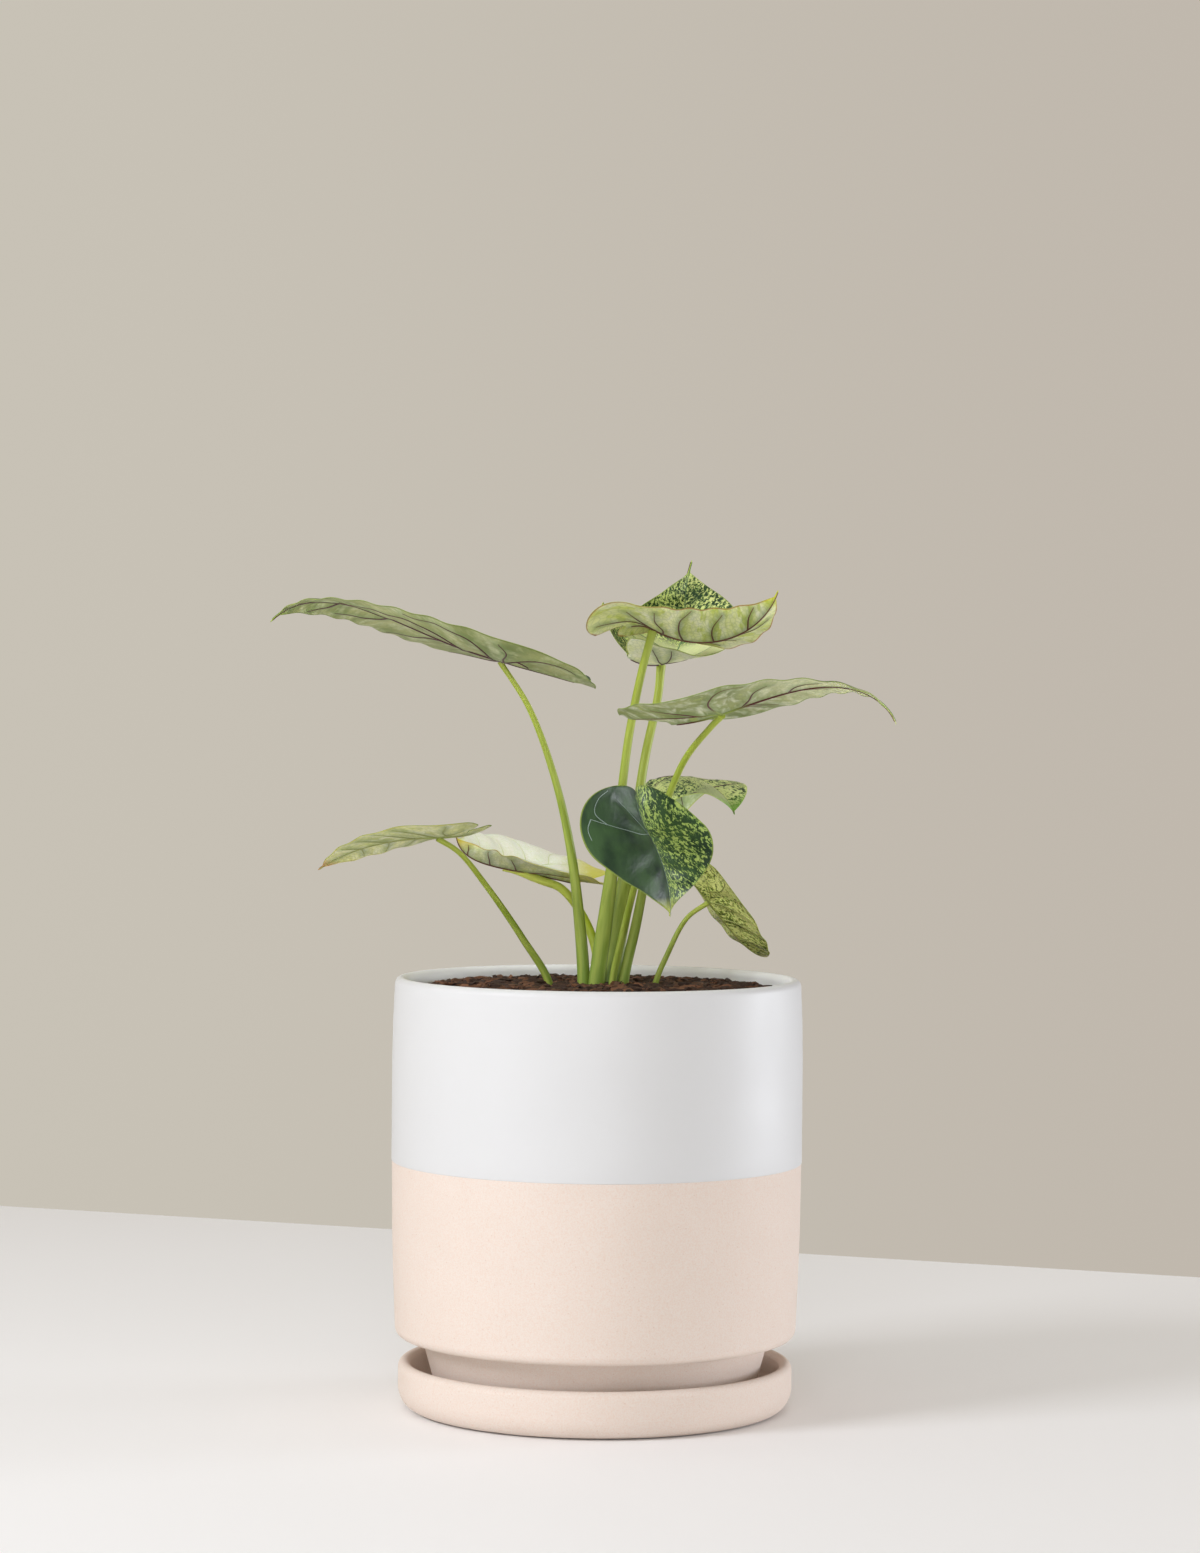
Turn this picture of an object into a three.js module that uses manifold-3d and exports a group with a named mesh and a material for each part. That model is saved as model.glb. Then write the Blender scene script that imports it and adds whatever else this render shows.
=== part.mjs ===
// Potted alocasia: nine heart-shaped leaves on long stalks, in a cylindrical stoneware pot on a saucer.
// Millimetres, +Z up, +Y away from the viewer. The origin is the middle of the saucer's underside.

import * as THREE from 'three';
import { mergeVertices } from 'three/addons/utils/BufferGeometryUtils.js';
import Module from 'manifold-3d';

const manifoldLibrary = await Module();
manifoldLibrary.setup();
const { Manifold, Mesh: ManifoldMesh } = manifoldLibrary;

// Driving dimensions

const GAP = 0.3;                 // clearance between pieces that touch on the real plant

// pot: outside radii and heights
const POT_RADIUS = 75;
const POT_RIM_Z = 157.3;
const POT_RIM_RADIUS = 74.2;     // the wall leans in slightly at the lip
const POT_STEP_Z = 28;           // lower edge of the wall, above the recessed foot
const POT_STEP_RADIUS = 73.4;
const FOOT_TOP_Z = 25.6;
const FOOT_TOP_RADIUS = 63.4;
const FOOT_BOTTOM_RADIUS = 57.6;
const POT_WALL = 4.6;
const POT_FLOOR = 8;
const DRAIN_RADIUS = 6;
const GLAZE_LINE_Z = 90.5;       // white glaze above, bare clay below
const POT_SIDES = 56;

// saucer
const SAUCER_RADIUS = 72;
const SAUCER_HEIGHT = 17.4;
const SAUCER_LIP = 4.6;
const SAUCER_FLOOR = 5.2;
const SAUCER_BASE_RADIUS = 65.5;

// soil: a low mound of bark chips, just under the rim
const SOIL_EDGE_Z = 152.6;
const SOIL_MOUND = 1.5;
const SOIL_BUMP = 0.7;
const SOIL_SIDES = 44;
const SOIL_RINGS = 9;

// leaf blades
const BLADE_THICKNESS = 0.7;
const ROW_PITCH = 4.3;           // spacing of the rows of facets along a blade
const COLUMNS = [0, 0.05, 0.34, 0.68, 1];   // from midrib to margin, as shares of the half width
const VEIN_SPACING = 13;         // between neighbouring side veins
const QUILT_HEIGHT = 0.9;        // how far the blade puffs up between its veins
const MIDRIB_DEPTH = 0.7;        // rib under the blade, along its midline
const LOBE_CENTRE = 0.42;        // where a rear lobe ends, as a share of the half width

// stalks
const STALK_SIDES = 8;
const STALK_BURIED = 16;         // length of each stalk down in the soil

const degrees = THREE.MathUtils.degToRad;
const clamp01 = (x) => Math.min(Math.max(x, 0), 1);

// The leaves, named from the upper left round to the pale young one.
//   hub       where the stalk meets the blade
//   front     hub to tip, back: hub to the ends of the rear lobes, half: half the width
//   joined    share of the back over which the two rear lobes are joined
//   heading   compass direction of the tip in plan, 0 is +X, 90 is +Y; swing: its change by the tip
//   rise      slope of the midrib at the hub; arch, droop: even and late change by the tip
//   backTilt  change of slope by the end of the lobes
//   bank      tilt of the blade to its right; bankOn: its change by the tip
//   fold      upward fold of the left and right halves; foldOn: its change by the tip
//   curl      further upward curl of the left and right halves by the margin
//   wave      height of the ripples in the margin
const LEAVES = {
  a: {
    hub: [-36.7, -4, 273], front: 91, back: 35, half: 36, joined: 0.58,
    heading: 185, swing: -28, rise: 14, arch: 38, droop: -99, backTilt: 5, bank: 3, bankOn: 16,
    fold: [-12, -1], foldOn: -12, curl: [39, 13], wave: 0.7,
  },
  b: {
    hub: [18.9, -16, 284.5], front: 57, back: 18, half: 30, joined: 0.55,
    heading: -22, swing: -14, rise: -27, arch: 76, droop: 20, backTilt: 81, bank: 0, bankOn: -16,
    fold: [13, 12], foldOn: 9, curl: [-33, 12], wave: 0.8,
  },
  c: {
    hub: [22.4, 28, 272.5], front: 47, back: 33, half: 32, joined: 0.57,
    heading: 48, swing: 128, rise: 9, arch: 154, droop: -58, backTilt: -53, bank: 13, bankOn: -20,
    fold: [18, 15], foldOn: -3, curl: [15, 16], wave: 0.8,
  },
  d: {
    hub: [42.9, -42, 254.2], front: 70, back: 35, half: 29, joined: 0.55,
    heading: -21, swing: 17, rise: 19, arch: -1, droop: -89, backTilt: -25, bank: 3, bankOn: -5,
    fold: [10, 11], foldOn: -14, curl: [-28, 11], wave: 0.8,
  },
  e: {
    hub: [29, 46, 230], front: 29, back: 15, half: 29, joined: 0.59,
    heading: -18, swing: -27, rise: -2, arch: -50, droop: -12, backTilt: 33, bank: -6, bankOn: 5,
    fold: [-2, -12], foldOn: 38, curl: [-21, -51], wave: 0.6,
  },
  f: {
    hub: [17.3, -40, 210.9], front: 31, back: 19, half: 34, joined: 0.81,
    heading: -38, swing: 7, rise: -52, arch: -38, droop: 0, backTilt: -36, bank: -20, bankOn: 14,
    fold: [-22, 1], foldOn: 3, curl: [103, -56], wave: 0.4,
  },
  g: {
    hub: [40.3, 5, 185.1], front: 39, back: 21, half: 21, joined: 0.6,
    heading: 37, swing: 17, rise: -45, arch: -1, droop: 47, backTilt: 0, bank: 4, bankOn: -1,
    fold: [25, 12], foldOn: -10, curl: [-5, -19], wave: 0.8,
  },
  h: {
    hub: [-58.5, -14, 208.6], front: 49, back: 18, half: 23, joined: 0.58,
    heading: 169, swing: -20, rise: -1, arch: -25, droop: -8, backTilt: -19, bank: 10, bankOn: 6,
    fold: [-6, 7], foldOn: -8, curl: [17, 2], wave: 0.6,
  },
  i: {
    hub: [-27, 28, 194.2], front: 34, back: 30, half: 25, joined: 0.64,
    heading: 186, swing: 58, rise: 11, arch: -2, droop: 66, backTilt: 4, bank: -8, bankOn: -5,
    fold: [23, 51], foldOn: 8, curl: [-9, -70], wave: 1.2,
  },
};

// The stalks: their route from the soil to the hub, and their radii at the base and under the blade.
const STALKS = {
  a: {
    route: [[-5.2, 7, 153.6], [-6.9, 5, 176], [-10.8, 2.4, 205.5], [-16.8, 0.1, 230.8], [-26.1, -2.3, 255.6]],
    base: 2.3, top: 1.1,
  },
  b: {
    route: [[-0.6, 4, 153.8], [2.6, -0.1, 180], [6.4, -4.9, 211.4], [10.4, -10.3, 246], [15.2, -14.6, 271]],
    base: 2.0, top: 1.4,
  },
  c: {
    route: [[3.3, 9, 153.5], [7.1, 12.9, 177.6], [12.4, 18, 208.9], [16.6, 22.6, 237.3], [21.3, 26.3, 260.4]],
    base: 2.3, top: 1.5,
  },
  d: {
    route: [[9.1, 8, 153.6], [13.7, 6, 176.4], [19.6, 0, 206.2], [29.6, -16, 235.6], [39, -35, 249]],
    base: 1.7, top: 1.1,
  },
  e: { route: [[6.6, 14, 153.2], [10.2, 22, 177], [16.5, 33, 203.5], [23, 41, 220]], base: 1.7, top: 1.1 },
  f: { route: [[5.1, 2, 154], [8.5, -6, 172], [12.2, -18, 189], [15.4, -31, 202.5]], base: 1.6, top: 1.1 },
  g: { route: [[20.9, 7, 153.8], [25.2, 6.3, 165.3], [32.4, 5.5, 179]], base: 1.3, top: 0.8 },
  h: {
    route: [[-17.7, 7, 153.5], [-27.7, 2.2, 171], [-41.5, -5.6, 191.3], [-50.9, -10.9, 203]],
    base: 1.7, top: 0.9,
  },
  i: {
    route: [[-1.9, 12, 153.3], [-0.7, 15.5, 164.5], [-5.5, 19.6, 177.9], [-14.1, 23.8, 188.6], [-21, 26, 191.2]],
    base: 1.8, top: 1.5,
  },
};

// Materials

const finish = (color, roughness) => new THREE.MeshStandardMaterial({ color, roughness, metalness: 0 });

const stoneware = () => finish(0xeeeae6, 0.55);
const bareClay = () => finish(0xf0dfd2, 0.85);
const barkSoil = () => finish(0x3d2a1e, 0.95);
const darkBlade = () => finish(0x3f5f36, 0.5);
const mottledBlade = () => finish(0x86a050, 0.5);
const youngBlade = () => finish(0xc6cf94, 0.55);
const greenStalk = () => finish(0x86a344, 0.5);

// Shapes

// a profile of [radius, height] points turned round the Z axis: a ring, unless it starts on the axis
function turned(profile, sides) {
  const points = profile.map(([r, z]) => new THREE.Vector2(r, z));
  if (profile[0][0] > 0) points.push(points[0].clone());
  const lathe = new THREE.LatheGeometry(points, sides);
  lathe.rotateX(Math.PI / 2);
  return welded(lathe);
}

// shared corners become one vertex, and triangles that shrink to a line on the axis are dropped
function welded(geometry) {
  geometry.deleteAttribute('uv');
  geometry.deleteAttribute('normal');
  const merged = mergeVertices(geometry, 1e-4);
  const index = merged.index.array;
  const kept = [];
  for (let k = 0; k < index.length; k += 3) {
    const [a, b, c] = [index[k], index[k + 1], index[k + 2]];
    if (a !== b && b !== c && c !== a) kept.push(a, b, c);
  }
  merged.setIndex(kept);
  return merged;
}

// points on a quarter of an ellipse, from one [radius, height] end to the other
function quarter(centre, radii, fromAngle, toAngle, steps) {
  const points = [];
  for (let k = 0; k <= steps; k += 1) {
    const angle = degrees(fromAngle + ((toAngle - fromAngle) * k) / steps);
    points.push([centre[0] + radii[0] * Math.cos(angle), centre[1] + radii[1] * Math.sin(angle)]);
  }
  return points;
}

function geometryOf(vertices, triangles) {
  const geometry = new THREE.BufferGeometry();
  geometry.setAttribute('position', new THREE.Float32BufferAttribute(vertices.flat(), 3));
  geometry.setIndex(triangles.flat());
  return geometry;
}

function toManifold(geometry) {
  const mesh = new ManifoldMesh({
    numProp: 3,
    vertProperties: new Float32Array(geometry.attributes.position.array),
    triVerts: new Uint32Array(geometry.index.array),
  });
  mesh.merge();
  return new Manifold(mesh);
}

function fromManifold(solid) {
  const mesh = solid.getMesh();
  const geometry = new THREE.BufferGeometry();
  geometry.setAttribute('position', new THREE.BufferAttribute(new Float32Array(mesh.vertProperties), 3));
  geometry.setIndex(new THREE.BufferAttribute(new Uint32Array(mesh.triVerts), 1));
  return geometry;
}

// Pot, saucer and soil

// where the pot's foot stands on the saucer
const FOOT_Z = SAUCER_FLOOR + GAP;
const INNER_RADIUS = POT_RADIUS - POT_WALL;
const POT_FLOOR_TOP = FOOT_Z + 4 + POT_FLOOR;
const INNER_FLOOR_RADIUS = FOOT_BOTTOM_RADIUS - POT_WALL;

// the pot's inside from the lip down to its floor, which the soil follows too
const potInside = () => [
  [POT_RIM_RADIUS - POT_WALL, POT_RIM_Z - 2.6],
  [INNER_RADIUS - 0.5, GLAZE_LINE_Z],
  [INNER_RADIUS - 1.4, 42],
  [INNER_RADIUS - 7, 26],
  [INNER_FLOOR_RADIUS, POT_FLOOR_TOP],
];

function potGeometry() {
  const lip = POT_WALL / 2;
  const lipRadius = POT_RIM_RADIUS - lip;
  const outside = [
    [FOOT_BOTTOM_RADIUS, FOOT_Z],
    [FOOT_TOP_RADIUS, FOOT_TOP_Z],
    [POT_STEP_RADIUS - 2, FOOT_TOP_Z + 0.8],
    [POT_STEP_RADIUS - 0.5, POT_STEP_Z],
    [POT_STEP_RADIUS, POT_STEP_Z + 3],
    [POT_RADIUS - 0.3, GLAZE_LINE_Z - 25],
    [POT_RADIUS, GLAZE_LINE_Z],
    [POT_RADIUS, GLAZE_LINE_Z + 38],
  ];
  const rim = quarter([lipRadius, POT_RIM_Z - 2.6], [lip, 2.6], 0, 180, 6);
  const inside = [
    ...potInside().slice(1),
    [DRAIN_RADIUS, POT_FLOOR_TOP],
    [DRAIN_RADIUS, FOOT_Z + 4],
    [FOOT_BOTTOM_RADIUS - 6, FOOT_Z + 4],
    [FOOT_BOTTOM_RADIUS - 5, FOOT_Z],
  ];
  return turned([...outside, ...rim, ...inside], POT_SIDES);
}

function saucerGeometry() {
  const lip = SAUCER_LIP / 2;
  const corner = quarter(
    [SAUCER_BASE_RADIUS, 8.5],
    [SAUCER_RADIUS - SAUCER_BASE_RADIUS, 8],
    -75, 0, 4,
  );
  const rim = quarter([SAUCER_RADIUS - lip, SAUCER_HEIGHT - 2.6], [lip, 2.6], 0, 180, 6);
  const innerWall = SAUCER_RADIUS - SAUCER_LIP;
  return turned([
    [0.0, 0.0],
    [SAUCER_BASE_RADIUS - 0.8, 0],
    ...corner,
    ...rim,
    [innerWall - 0.6, SAUCER_FLOOR + 3],
    [innerWall - 3.4, SAUCER_FLOOR],
    [0.0, SAUCER_FLOOR],
  ], POT_SIDES);
}

// height of the soil at a point, a few whole waves standing for its bark chips
function soilHeight(x, y) {
  const radius = Math.hypot(x, y) / INNER_RADIUS;
  const chips = Math.sin(x * 0.41 + 1.3 * Math.sin(y * 0.23)) * Math.cos(y * 0.37 + 0.8 * Math.sin(x * 0.19));
  return SOIL_EDGE_Z + SOIL_MOUND * (1 - radius * radius) + SOIL_BUMP * chips * clamp01((1 - radius) * 6);
}

function soilGeometry() {
  const vertices = [];
  const triangles = [];
  const clearance = GAP + 0.2;
  const side = potInside().map(([radius, height]) => [radius - clearance, height]);
  side[0][1] = SOIL_EDGE_Z;
  side[side.length - 1][1] = POT_FLOOR_TOP + GAP;
  const topRadius = side[0][0];
  const rings = [];
  vertices.push([0, 0, soilHeight(0, 0)]);
  for (let k = 1; k < SOIL_RINGS; k += 1) rings.push((topRadius * k) / SOIL_RINGS);
  const ringStart = (k) => 1 + k * SOIL_SIDES;
  const addRing = (radius, height) => {
    for (let n = 0; n < SOIL_SIDES; n += 1) {
      const angle = (2 * Math.PI * n) / SOIL_SIDES;
      const x = radius * Math.cos(angle);
      const y = radius * Math.sin(angle);
      vertices.push([x, y, height ?? soilHeight(x, y)]);
    }
  };
  rings.forEach((radius) => addRing(radius));
  side.forEach(([radius, height]) => addRing(radius, height));
  const ringCount = rings.length + side.length;
  for (let n = 0; n < SOIL_SIDES; n += 1) {
    const next = (n + 1) % SOIL_SIDES;
    triangles.push([0, 1 + n, 1 + next]);
    for (let k = 0; k + 1 < ringCount; k += 1) {
      const a = ringStart(k) + n;
      const b = ringStart(k) + next;
      const c = ringStart(k + 1) + n;
      const d = ringStart(k + 1) + next;
      triangles.push([a, c, b], [b, c, d]);
    }
  }
  const bottom = vertices.length;
  vertices.push([0, 0, POT_FLOOR_TOP + GAP]);
  for (let n = 0; n < SOIL_SIDES; n += 1) {
    const next = (n + 1) % SOIL_SIDES;
    triangles.push([bottom, ringStart(ringCount - 1) + next, ringStart(ringCount - 1) + n]);
  }
  return geometryOf(vertices, triangles);
}

// Leaf blades

// inner and outer edge of one half of a flat blade, measured out from its midline
function halfEdges(leaf, along) {
  const { front, back, half, joined } = leaf;
  if (along >= 0) {
    const ahead = clamp01(along / front);
    const body = clamp01(1 - Math.pow(ahead / 0.95, 2.1));
    return [0, half * (0.92 * body + 0.08 * Math.sqrt(1 - ahead))];
  }
  const lobeEnd = LOBE_CENTRE * half;
  const behind = clamp01(-along / back);
  const outer = lobeEnd + (half - lobeEnd) * Math.pow(clamp01(1 - Math.pow(behind, 2.4)), 1 / 2.4);
  const open = clamp01((behind - joined) / (1 - joined));
  const inner = lobeEnd * (0.55 * (1 - Math.sqrt(clamp01(1 - open * open))) + 0.45 * open);
  return [inner, outer];
}

// stations along the midline, closer together at the tip and at the ends of the lobes
function stations(leaf) {
  const seamEnd = -leaf.back * leaf.joined;
  const rows = (length) => Math.max(3, Math.round(length / ROW_PITCH));
  const list = [];
  const rearRows = rows(leaf.back + seamEnd) + 1;
  for (let k = 0; k < rearRows; k += 1) {
    const t = k / rearRows;
    list.push(-leaf.back + (leaf.back + seamEnd) * t * t);
  }
  const seamRows = rows(-seamEnd);
  for (let k = 0; k < seamRows; k += 1) list.push(seamEnd * (1 - k / seamRows));
  const frontRows = rows(leaf.front);
  for (let k = 0; k <= frontRows; k += 1) {
    const t = k / frontRows;
    list.push(leaf.front * Math.sin((Math.PI / 2) * (0.25 * t + 0.75 * Math.pow(t, 0.9))));
  }
  return list;
}

// the midline as a curve in space, with the across and upward directions that go with it
function midlineFrame(leaf, along) {
  const ahead = clamp01(along / leaf.front);
  const behind = clamp01(-along / leaf.back);
  const share = Math.min(Math.max(along / leaf.front, -1), 1);
  const slope = degrees(leaf.rise + leaf.arch * ahead + leaf.droop * ahead ** 3 + leaf.backTilt * behind);
  const heading = degrees(leaf.heading + leaf.swing * ahead * ahead);
  const bank = degrees(leaf.bank + leaf.bankOn * share);
  const forward = new THREE.Vector3(
    Math.cos(slope) * Math.cos(heading),
    Math.cos(slope) * Math.sin(heading),
    Math.sin(slope),
  );
  const level = new THREE.Vector3(-Math.sin(heading), Math.cos(heading), 0);
  const upright = forward.clone().cross(level);
  const across = level.clone().multiplyScalar(Math.cos(bank)).addScaledVector(upright, Math.sin(bank));
  const up = upright.clone().multiplyScalar(Math.cos(bank)).addScaledVector(level, -Math.sin(bank));
  return { forward, across, up, share };
}

// the midline's point at a station, summed in short steps from the hub
function midlinePoint(leaf, along) {
  const steps = Math.max(2, Math.ceil(Math.abs(along) / 1.5));
  const step = along / steps;
  const point = new THREE.Vector3(...leaf.hub);
  for (let k = 0; k < steps; k += 1) {
    point.addScaledVector(midlineFrame(leaf, (k + 0.5) * step).forward, step);
  }
  return point;
}

// how far the blade is lifted between its veins, and rippled at its margin
function relief(leaf, along, outward, reach) {
  const lean = 0.5 * Math.tanh((along + 5) / 15);
  const phase = (along - lean * outward) / VEIN_SPACING;
  const inside = 4 * reach * (1 - reach);
  const quilt = QUILT_HEIGHT * inside * 0.5 * (1 - Math.cos(2 * Math.PI * phase));
  const ripple = leaf.wave * reach * reach * Math.sin(2 * Math.PI * phase + 1.2);
  return quilt + ripple * clamp01((leaf.front - along) / 12);
}

// the middle surface of one half: side is 1 for the left half and -1 for the right half
function bladePoint(leaf, side, along, column) {
  const [inner, outer] = halfEdges(leaf, along);
  const outward = inner + (outer - inner) * column;
  const reach = outer > 0 ? outward / Math.max(outer, 0.5) : 0;
  const frame = midlineFrame(leaf, along);
  const which = side > 0 ? 0 : 1;
  const fold = degrees(leaf.fold[which] + leaf.foldOn * frame.share);
  const curl = degrees(leaf.curl[which] || 0.01) / leaf.half;
  const turn = fold + curl * outward;
  const sideways = (Math.sin(turn) - Math.sin(fold)) / curl;
  const lift = (Math.cos(fold) - Math.cos(turn)) / curl + relief(leaf, along, outward, reach);
  return midlinePoint(leaf, along)
    .addScaledVector(frame.across, side * sideways)
    .addScaledVector(frame.up, lift);
}

// a blade: its upper face, its lower face with the midrib, and the edge between them
function bladeGeometry(leaf) {
  const rows = stations(leaf);
  const lastRow = rows.length - 1;
  const seamEnd = -leaf.back * leaf.joined;
  const points = [];
  const midribs = [];
  const shared = new Map();
  const corner = (side, row, col) => {
    const onMidline = row === lastRow || (col === 0 && rows[row] >= seamEnd - 1e-6);
    const column = row === lastRow || row === 0 ? 0 : col;
    const key = onMidline ? `mid ${row}` : `${side} ${row} ${column}`;
    if (!shared.has(key)) {
      shared.set(key, points.length);
      points.push(bladePoint(leaf, side, rows[row], COLUMNS[column]));
      const fade = clamp01(1 - rows[row] / leaf.front) * clamp01(1 + rows[row] / leaf.back);
      midribs.push(onMidline ? MIDRIB_DEPTH * fade : 0);
    }
    return shared.get(key);
  };
  const faces = [];
  for (const side of [1, -1]) {
    for (let row = 0; row < lastRow; row += 1) {
      for (let col = 0; col + 1 < COLUMNS.length; col += 1) {
        const a = corner(side, row, col);
        const b = corner(side, row + 1, col);
        const c = corner(side, row + 1, col + 1);
        const d = corner(side, row, col + 1);
        for (const face of [[a, b, c], [a, c, d]]) {
          if (new Set(face).size === 3) faces.push(side > 0 ? face : [face[0], face[2], face[1]]);
        }
      }
    }
  }
  const normals = points.map(() => new THREE.Vector3());
  for (const [a, b, c] of faces) {
    const area = points[b].clone().sub(points[a]).cross(points[c].clone().sub(points[a]));
    for (const k of [a, b, c]) normals[k].add(area);
  }
  const count = points.length;
  const vertices = [];
  const triangles = [];
  points.forEach((point, k) => {
    const half = normals[k].normalize().clone().multiplyScalar(BLADE_THICKNESS / 2);
    vertices.push(point.clone().add(half).toArray());
  });
  points.forEach((point, k) => {
    const down = normals[k].clone().multiplyScalar(BLADE_THICKNESS / 2 + midribs[k]);
    vertices.push(point.clone().sub(down).toArray());
  });
  const edges = new Map();
  for (const [a, b, c] of faces) {
    triangles.push([a, b, c], [count + a, count + c, count + b]);
    for (const [from, to] of [[a, b], [b, c], [c, a]]) edges.set(`${from} ${to}`, [from, to]);
  }
  for (const [from, to] of edges.values()) {
    if (!edges.has(`${to} ${from}`)) {
      triangles.push([from, count + to, to], [from, count + from, count + to]);
    }
  }
  return geometryOf(vertices, triangles);
}

// Stalks

// the point under the hub where a stalk ends, and the blade's upward direction there
function stalkEnd(leaf) {
  const { up } = midlineFrame(leaf, 0);
  const clearance = BLADE_THICKNESS / 2 + MIDRIB_DEPTH + GAP + 0.1;
  return { end: new THREE.Vector3(...leaf.hub).addScaledVector(up, -clearance), up };
}

function stalkCurve(name) {
  const { end, up } = stalkEnd(LEAVES[name]);
  const route = STALKS[name].route.map((p) => new THREE.Vector3(...p));
  const below = route[0].clone().add(new THREE.Vector3(0, 0, -STALK_BURIED));
  const neck = end.clone().addScaledVector(up, -3);
  return new THREE.CatmullRomCurve3([below, ...route, neck, end], false, 'centripetal');
}

// a round tube that tapers along a curve, with its upper end cut parallel to the blade;
// extra makes it that much larger all round, as the cutter of its hole in the soil
function taperedTube(curve, segments, baseRadius, topRadius, extra, upperCut) {
  const frames = curve.computeFrenetFrames(segments, false);
  const vertices = [];
  const triangles = [];
  for (let k = 0; k <= segments; k += 1) {
    const t = k / segments;
    const centre = curve.getPointAt(t);
    if (k === 0) centre.addScaledVector(frames.tangents[0], -extra);
    const radius = baseRadius + (topRadius - baseRadius) * Math.pow(t, 0.8) + extra;
    for (let n = 0; n < STALK_SIDES; n += 1) {
      const angle = (2 * Math.PI * n) / STALK_SIDES;
      const point = centre.clone()
        .addScaledVector(frames.normals[k], radius * Math.cos(angle))
        .addScaledVector(frames.binormals[k], radius * Math.sin(angle));
      if (k === segments && upperCut) {
        const tangent = frames.tangents[k];
        const height = point.clone().sub(upperCut.end).dot(upperCut.up);
        point.addScaledVector(tangent, -height / tangent.dot(upperCut.up));
      }
      vertices.push(point.toArray());
    }
  }
  const foot = vertices.length;
  vertices.push(curve.getPointAt(0).addScaledVector(frames.tangents[0], -extra).toArray());
  vertices.push(curve.getPointAt(1).toArray());
  for (let n = 0; n < STALK_SIDES; n += 1) {
    const next = (n + 1) % STALK_SIDES;
    for (let k = 0; k < segments; k += 1) {
      const a = k * STALK_SIDES + n;
      const b = k * STALK_SIDES + next;
      const c = (k + 1) * STALK_SIDES + n;
      const d = (k + 1) * STALK_SIDES + next;
      triangles.push([a, b, c], [b, d, c]);
    }
    triangles.push([foot, next, n]);
    triangles.push([foot + 1, segments * STALK_SIDES + n, segments * STALK_SIDES + next]);
  }
  return geometryOf(vertices, triangles);
}

function stalkTube(name, extra) {
  const { base, top } = STALKS[name];
  const curve = stalkCurve(name);
  const segments = Math.max(8, Math.round(curve.getLength() / 12));
  return taperedTube(curve, segments, base, top, extra, stalkEnd(LEAVES[name]));
}

// the soil, with a plain hole for each stalk
function pottedSoil() {
  let soil = toManifold(soilGeometry());
  for (const name of Object.keys(STALKS)) soil = soil.subtract(toManifold(stalkTube(name, GAP)));
  return fromManifold(soil);
}

// Assembly

const group = new THREE.Group();

function add(name, geometry, material) {
  const mesh = new THREE.Mesh(geometry, material);
  mesh.name = name;
  group.add(mesh);
}

const bladeFinish = { a: darkBlade, d: darkBlade, h: darkBlade, i: youngBlade };

add('saucer', saucerGeometry(), bareClay());
add('pot', potGeometry(), stoneware());
add('soil', pottedSoil(), barkSoil());
for (const [name, leaf] of Object.entries(LEAVES)) {
  add(`stalk_${name}`, stalkTube(name, 0), greenStalk());
  add(`blade_${name}`, bladeGeometry(leaf), (bladeFinish[name] ?? mottledBlade)());
}

export default group;
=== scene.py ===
# A potted alocasia: nine heart-shaped leaves on long stalks, in a cylindrical stoneware pot that is
# glazed white above and bare below, standing in a round saucer of the same clay.
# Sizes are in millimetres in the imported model's frame, and MM turns them into Blender's metres.

import math
import bpy
import numpy as np
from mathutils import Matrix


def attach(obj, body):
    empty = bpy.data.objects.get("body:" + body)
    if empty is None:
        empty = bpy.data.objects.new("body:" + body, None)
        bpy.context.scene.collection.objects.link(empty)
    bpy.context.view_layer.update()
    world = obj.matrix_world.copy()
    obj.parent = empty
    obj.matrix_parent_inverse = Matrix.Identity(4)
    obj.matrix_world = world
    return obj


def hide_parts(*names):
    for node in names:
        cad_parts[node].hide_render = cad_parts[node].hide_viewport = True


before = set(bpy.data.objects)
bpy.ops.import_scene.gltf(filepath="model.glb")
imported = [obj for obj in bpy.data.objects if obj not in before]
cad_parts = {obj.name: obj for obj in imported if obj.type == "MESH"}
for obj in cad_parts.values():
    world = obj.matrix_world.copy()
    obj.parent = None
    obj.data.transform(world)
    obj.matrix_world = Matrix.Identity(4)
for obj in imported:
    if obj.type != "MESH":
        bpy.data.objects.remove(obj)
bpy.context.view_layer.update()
MM = 0.001

# The saucer: one shallow dish of pinkish clay, pressed in a mould, its lip rounded by a wet sponge,
# and fired bare. It stands on its flat underside and carries the pot's foot.

SAUCER_RADIUS = 72.0
SAUCER_BASE_RADIUS = 65.5
SAUCER_LIP_Z = 14.8
SAUCER_LIP_HALF = 2.3
SAUCER_FLOOR_Z = 5.2
ROUND_SIDES = 192


def linear(hex_colour):
    """An sRGB hex colour as the linear values that a socket takes."""
    shares = [int(hex_colour[k:k + 2], 16) / 255 for k in (0, 2, 4)]
    return [s / 12.92 if s <= 0.04045 else ((s + 0.055) / 1.055) ** 2.4 for s in shares] + [1.0]


def put(tree, kind, inputs, gives=0, **settings):
    """Adds a shader node and returns one of its outputs, by index or name. inputs gives each of its
    sockets a number, a colour or the output that feeds it."""
    made = tree.nodes.new("ShaderNode" + kind)
    for name, value in settings.items():
        setattr(made, name, value)
    for socket, value in inputs.items():
        if isinstance(value, bpy.types.NodeSocket):
            tree.links.new(value, made.inputs[socket])
        else:
            made.inputs[socket].default_value = value
    return made.outputs[gives]


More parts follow.
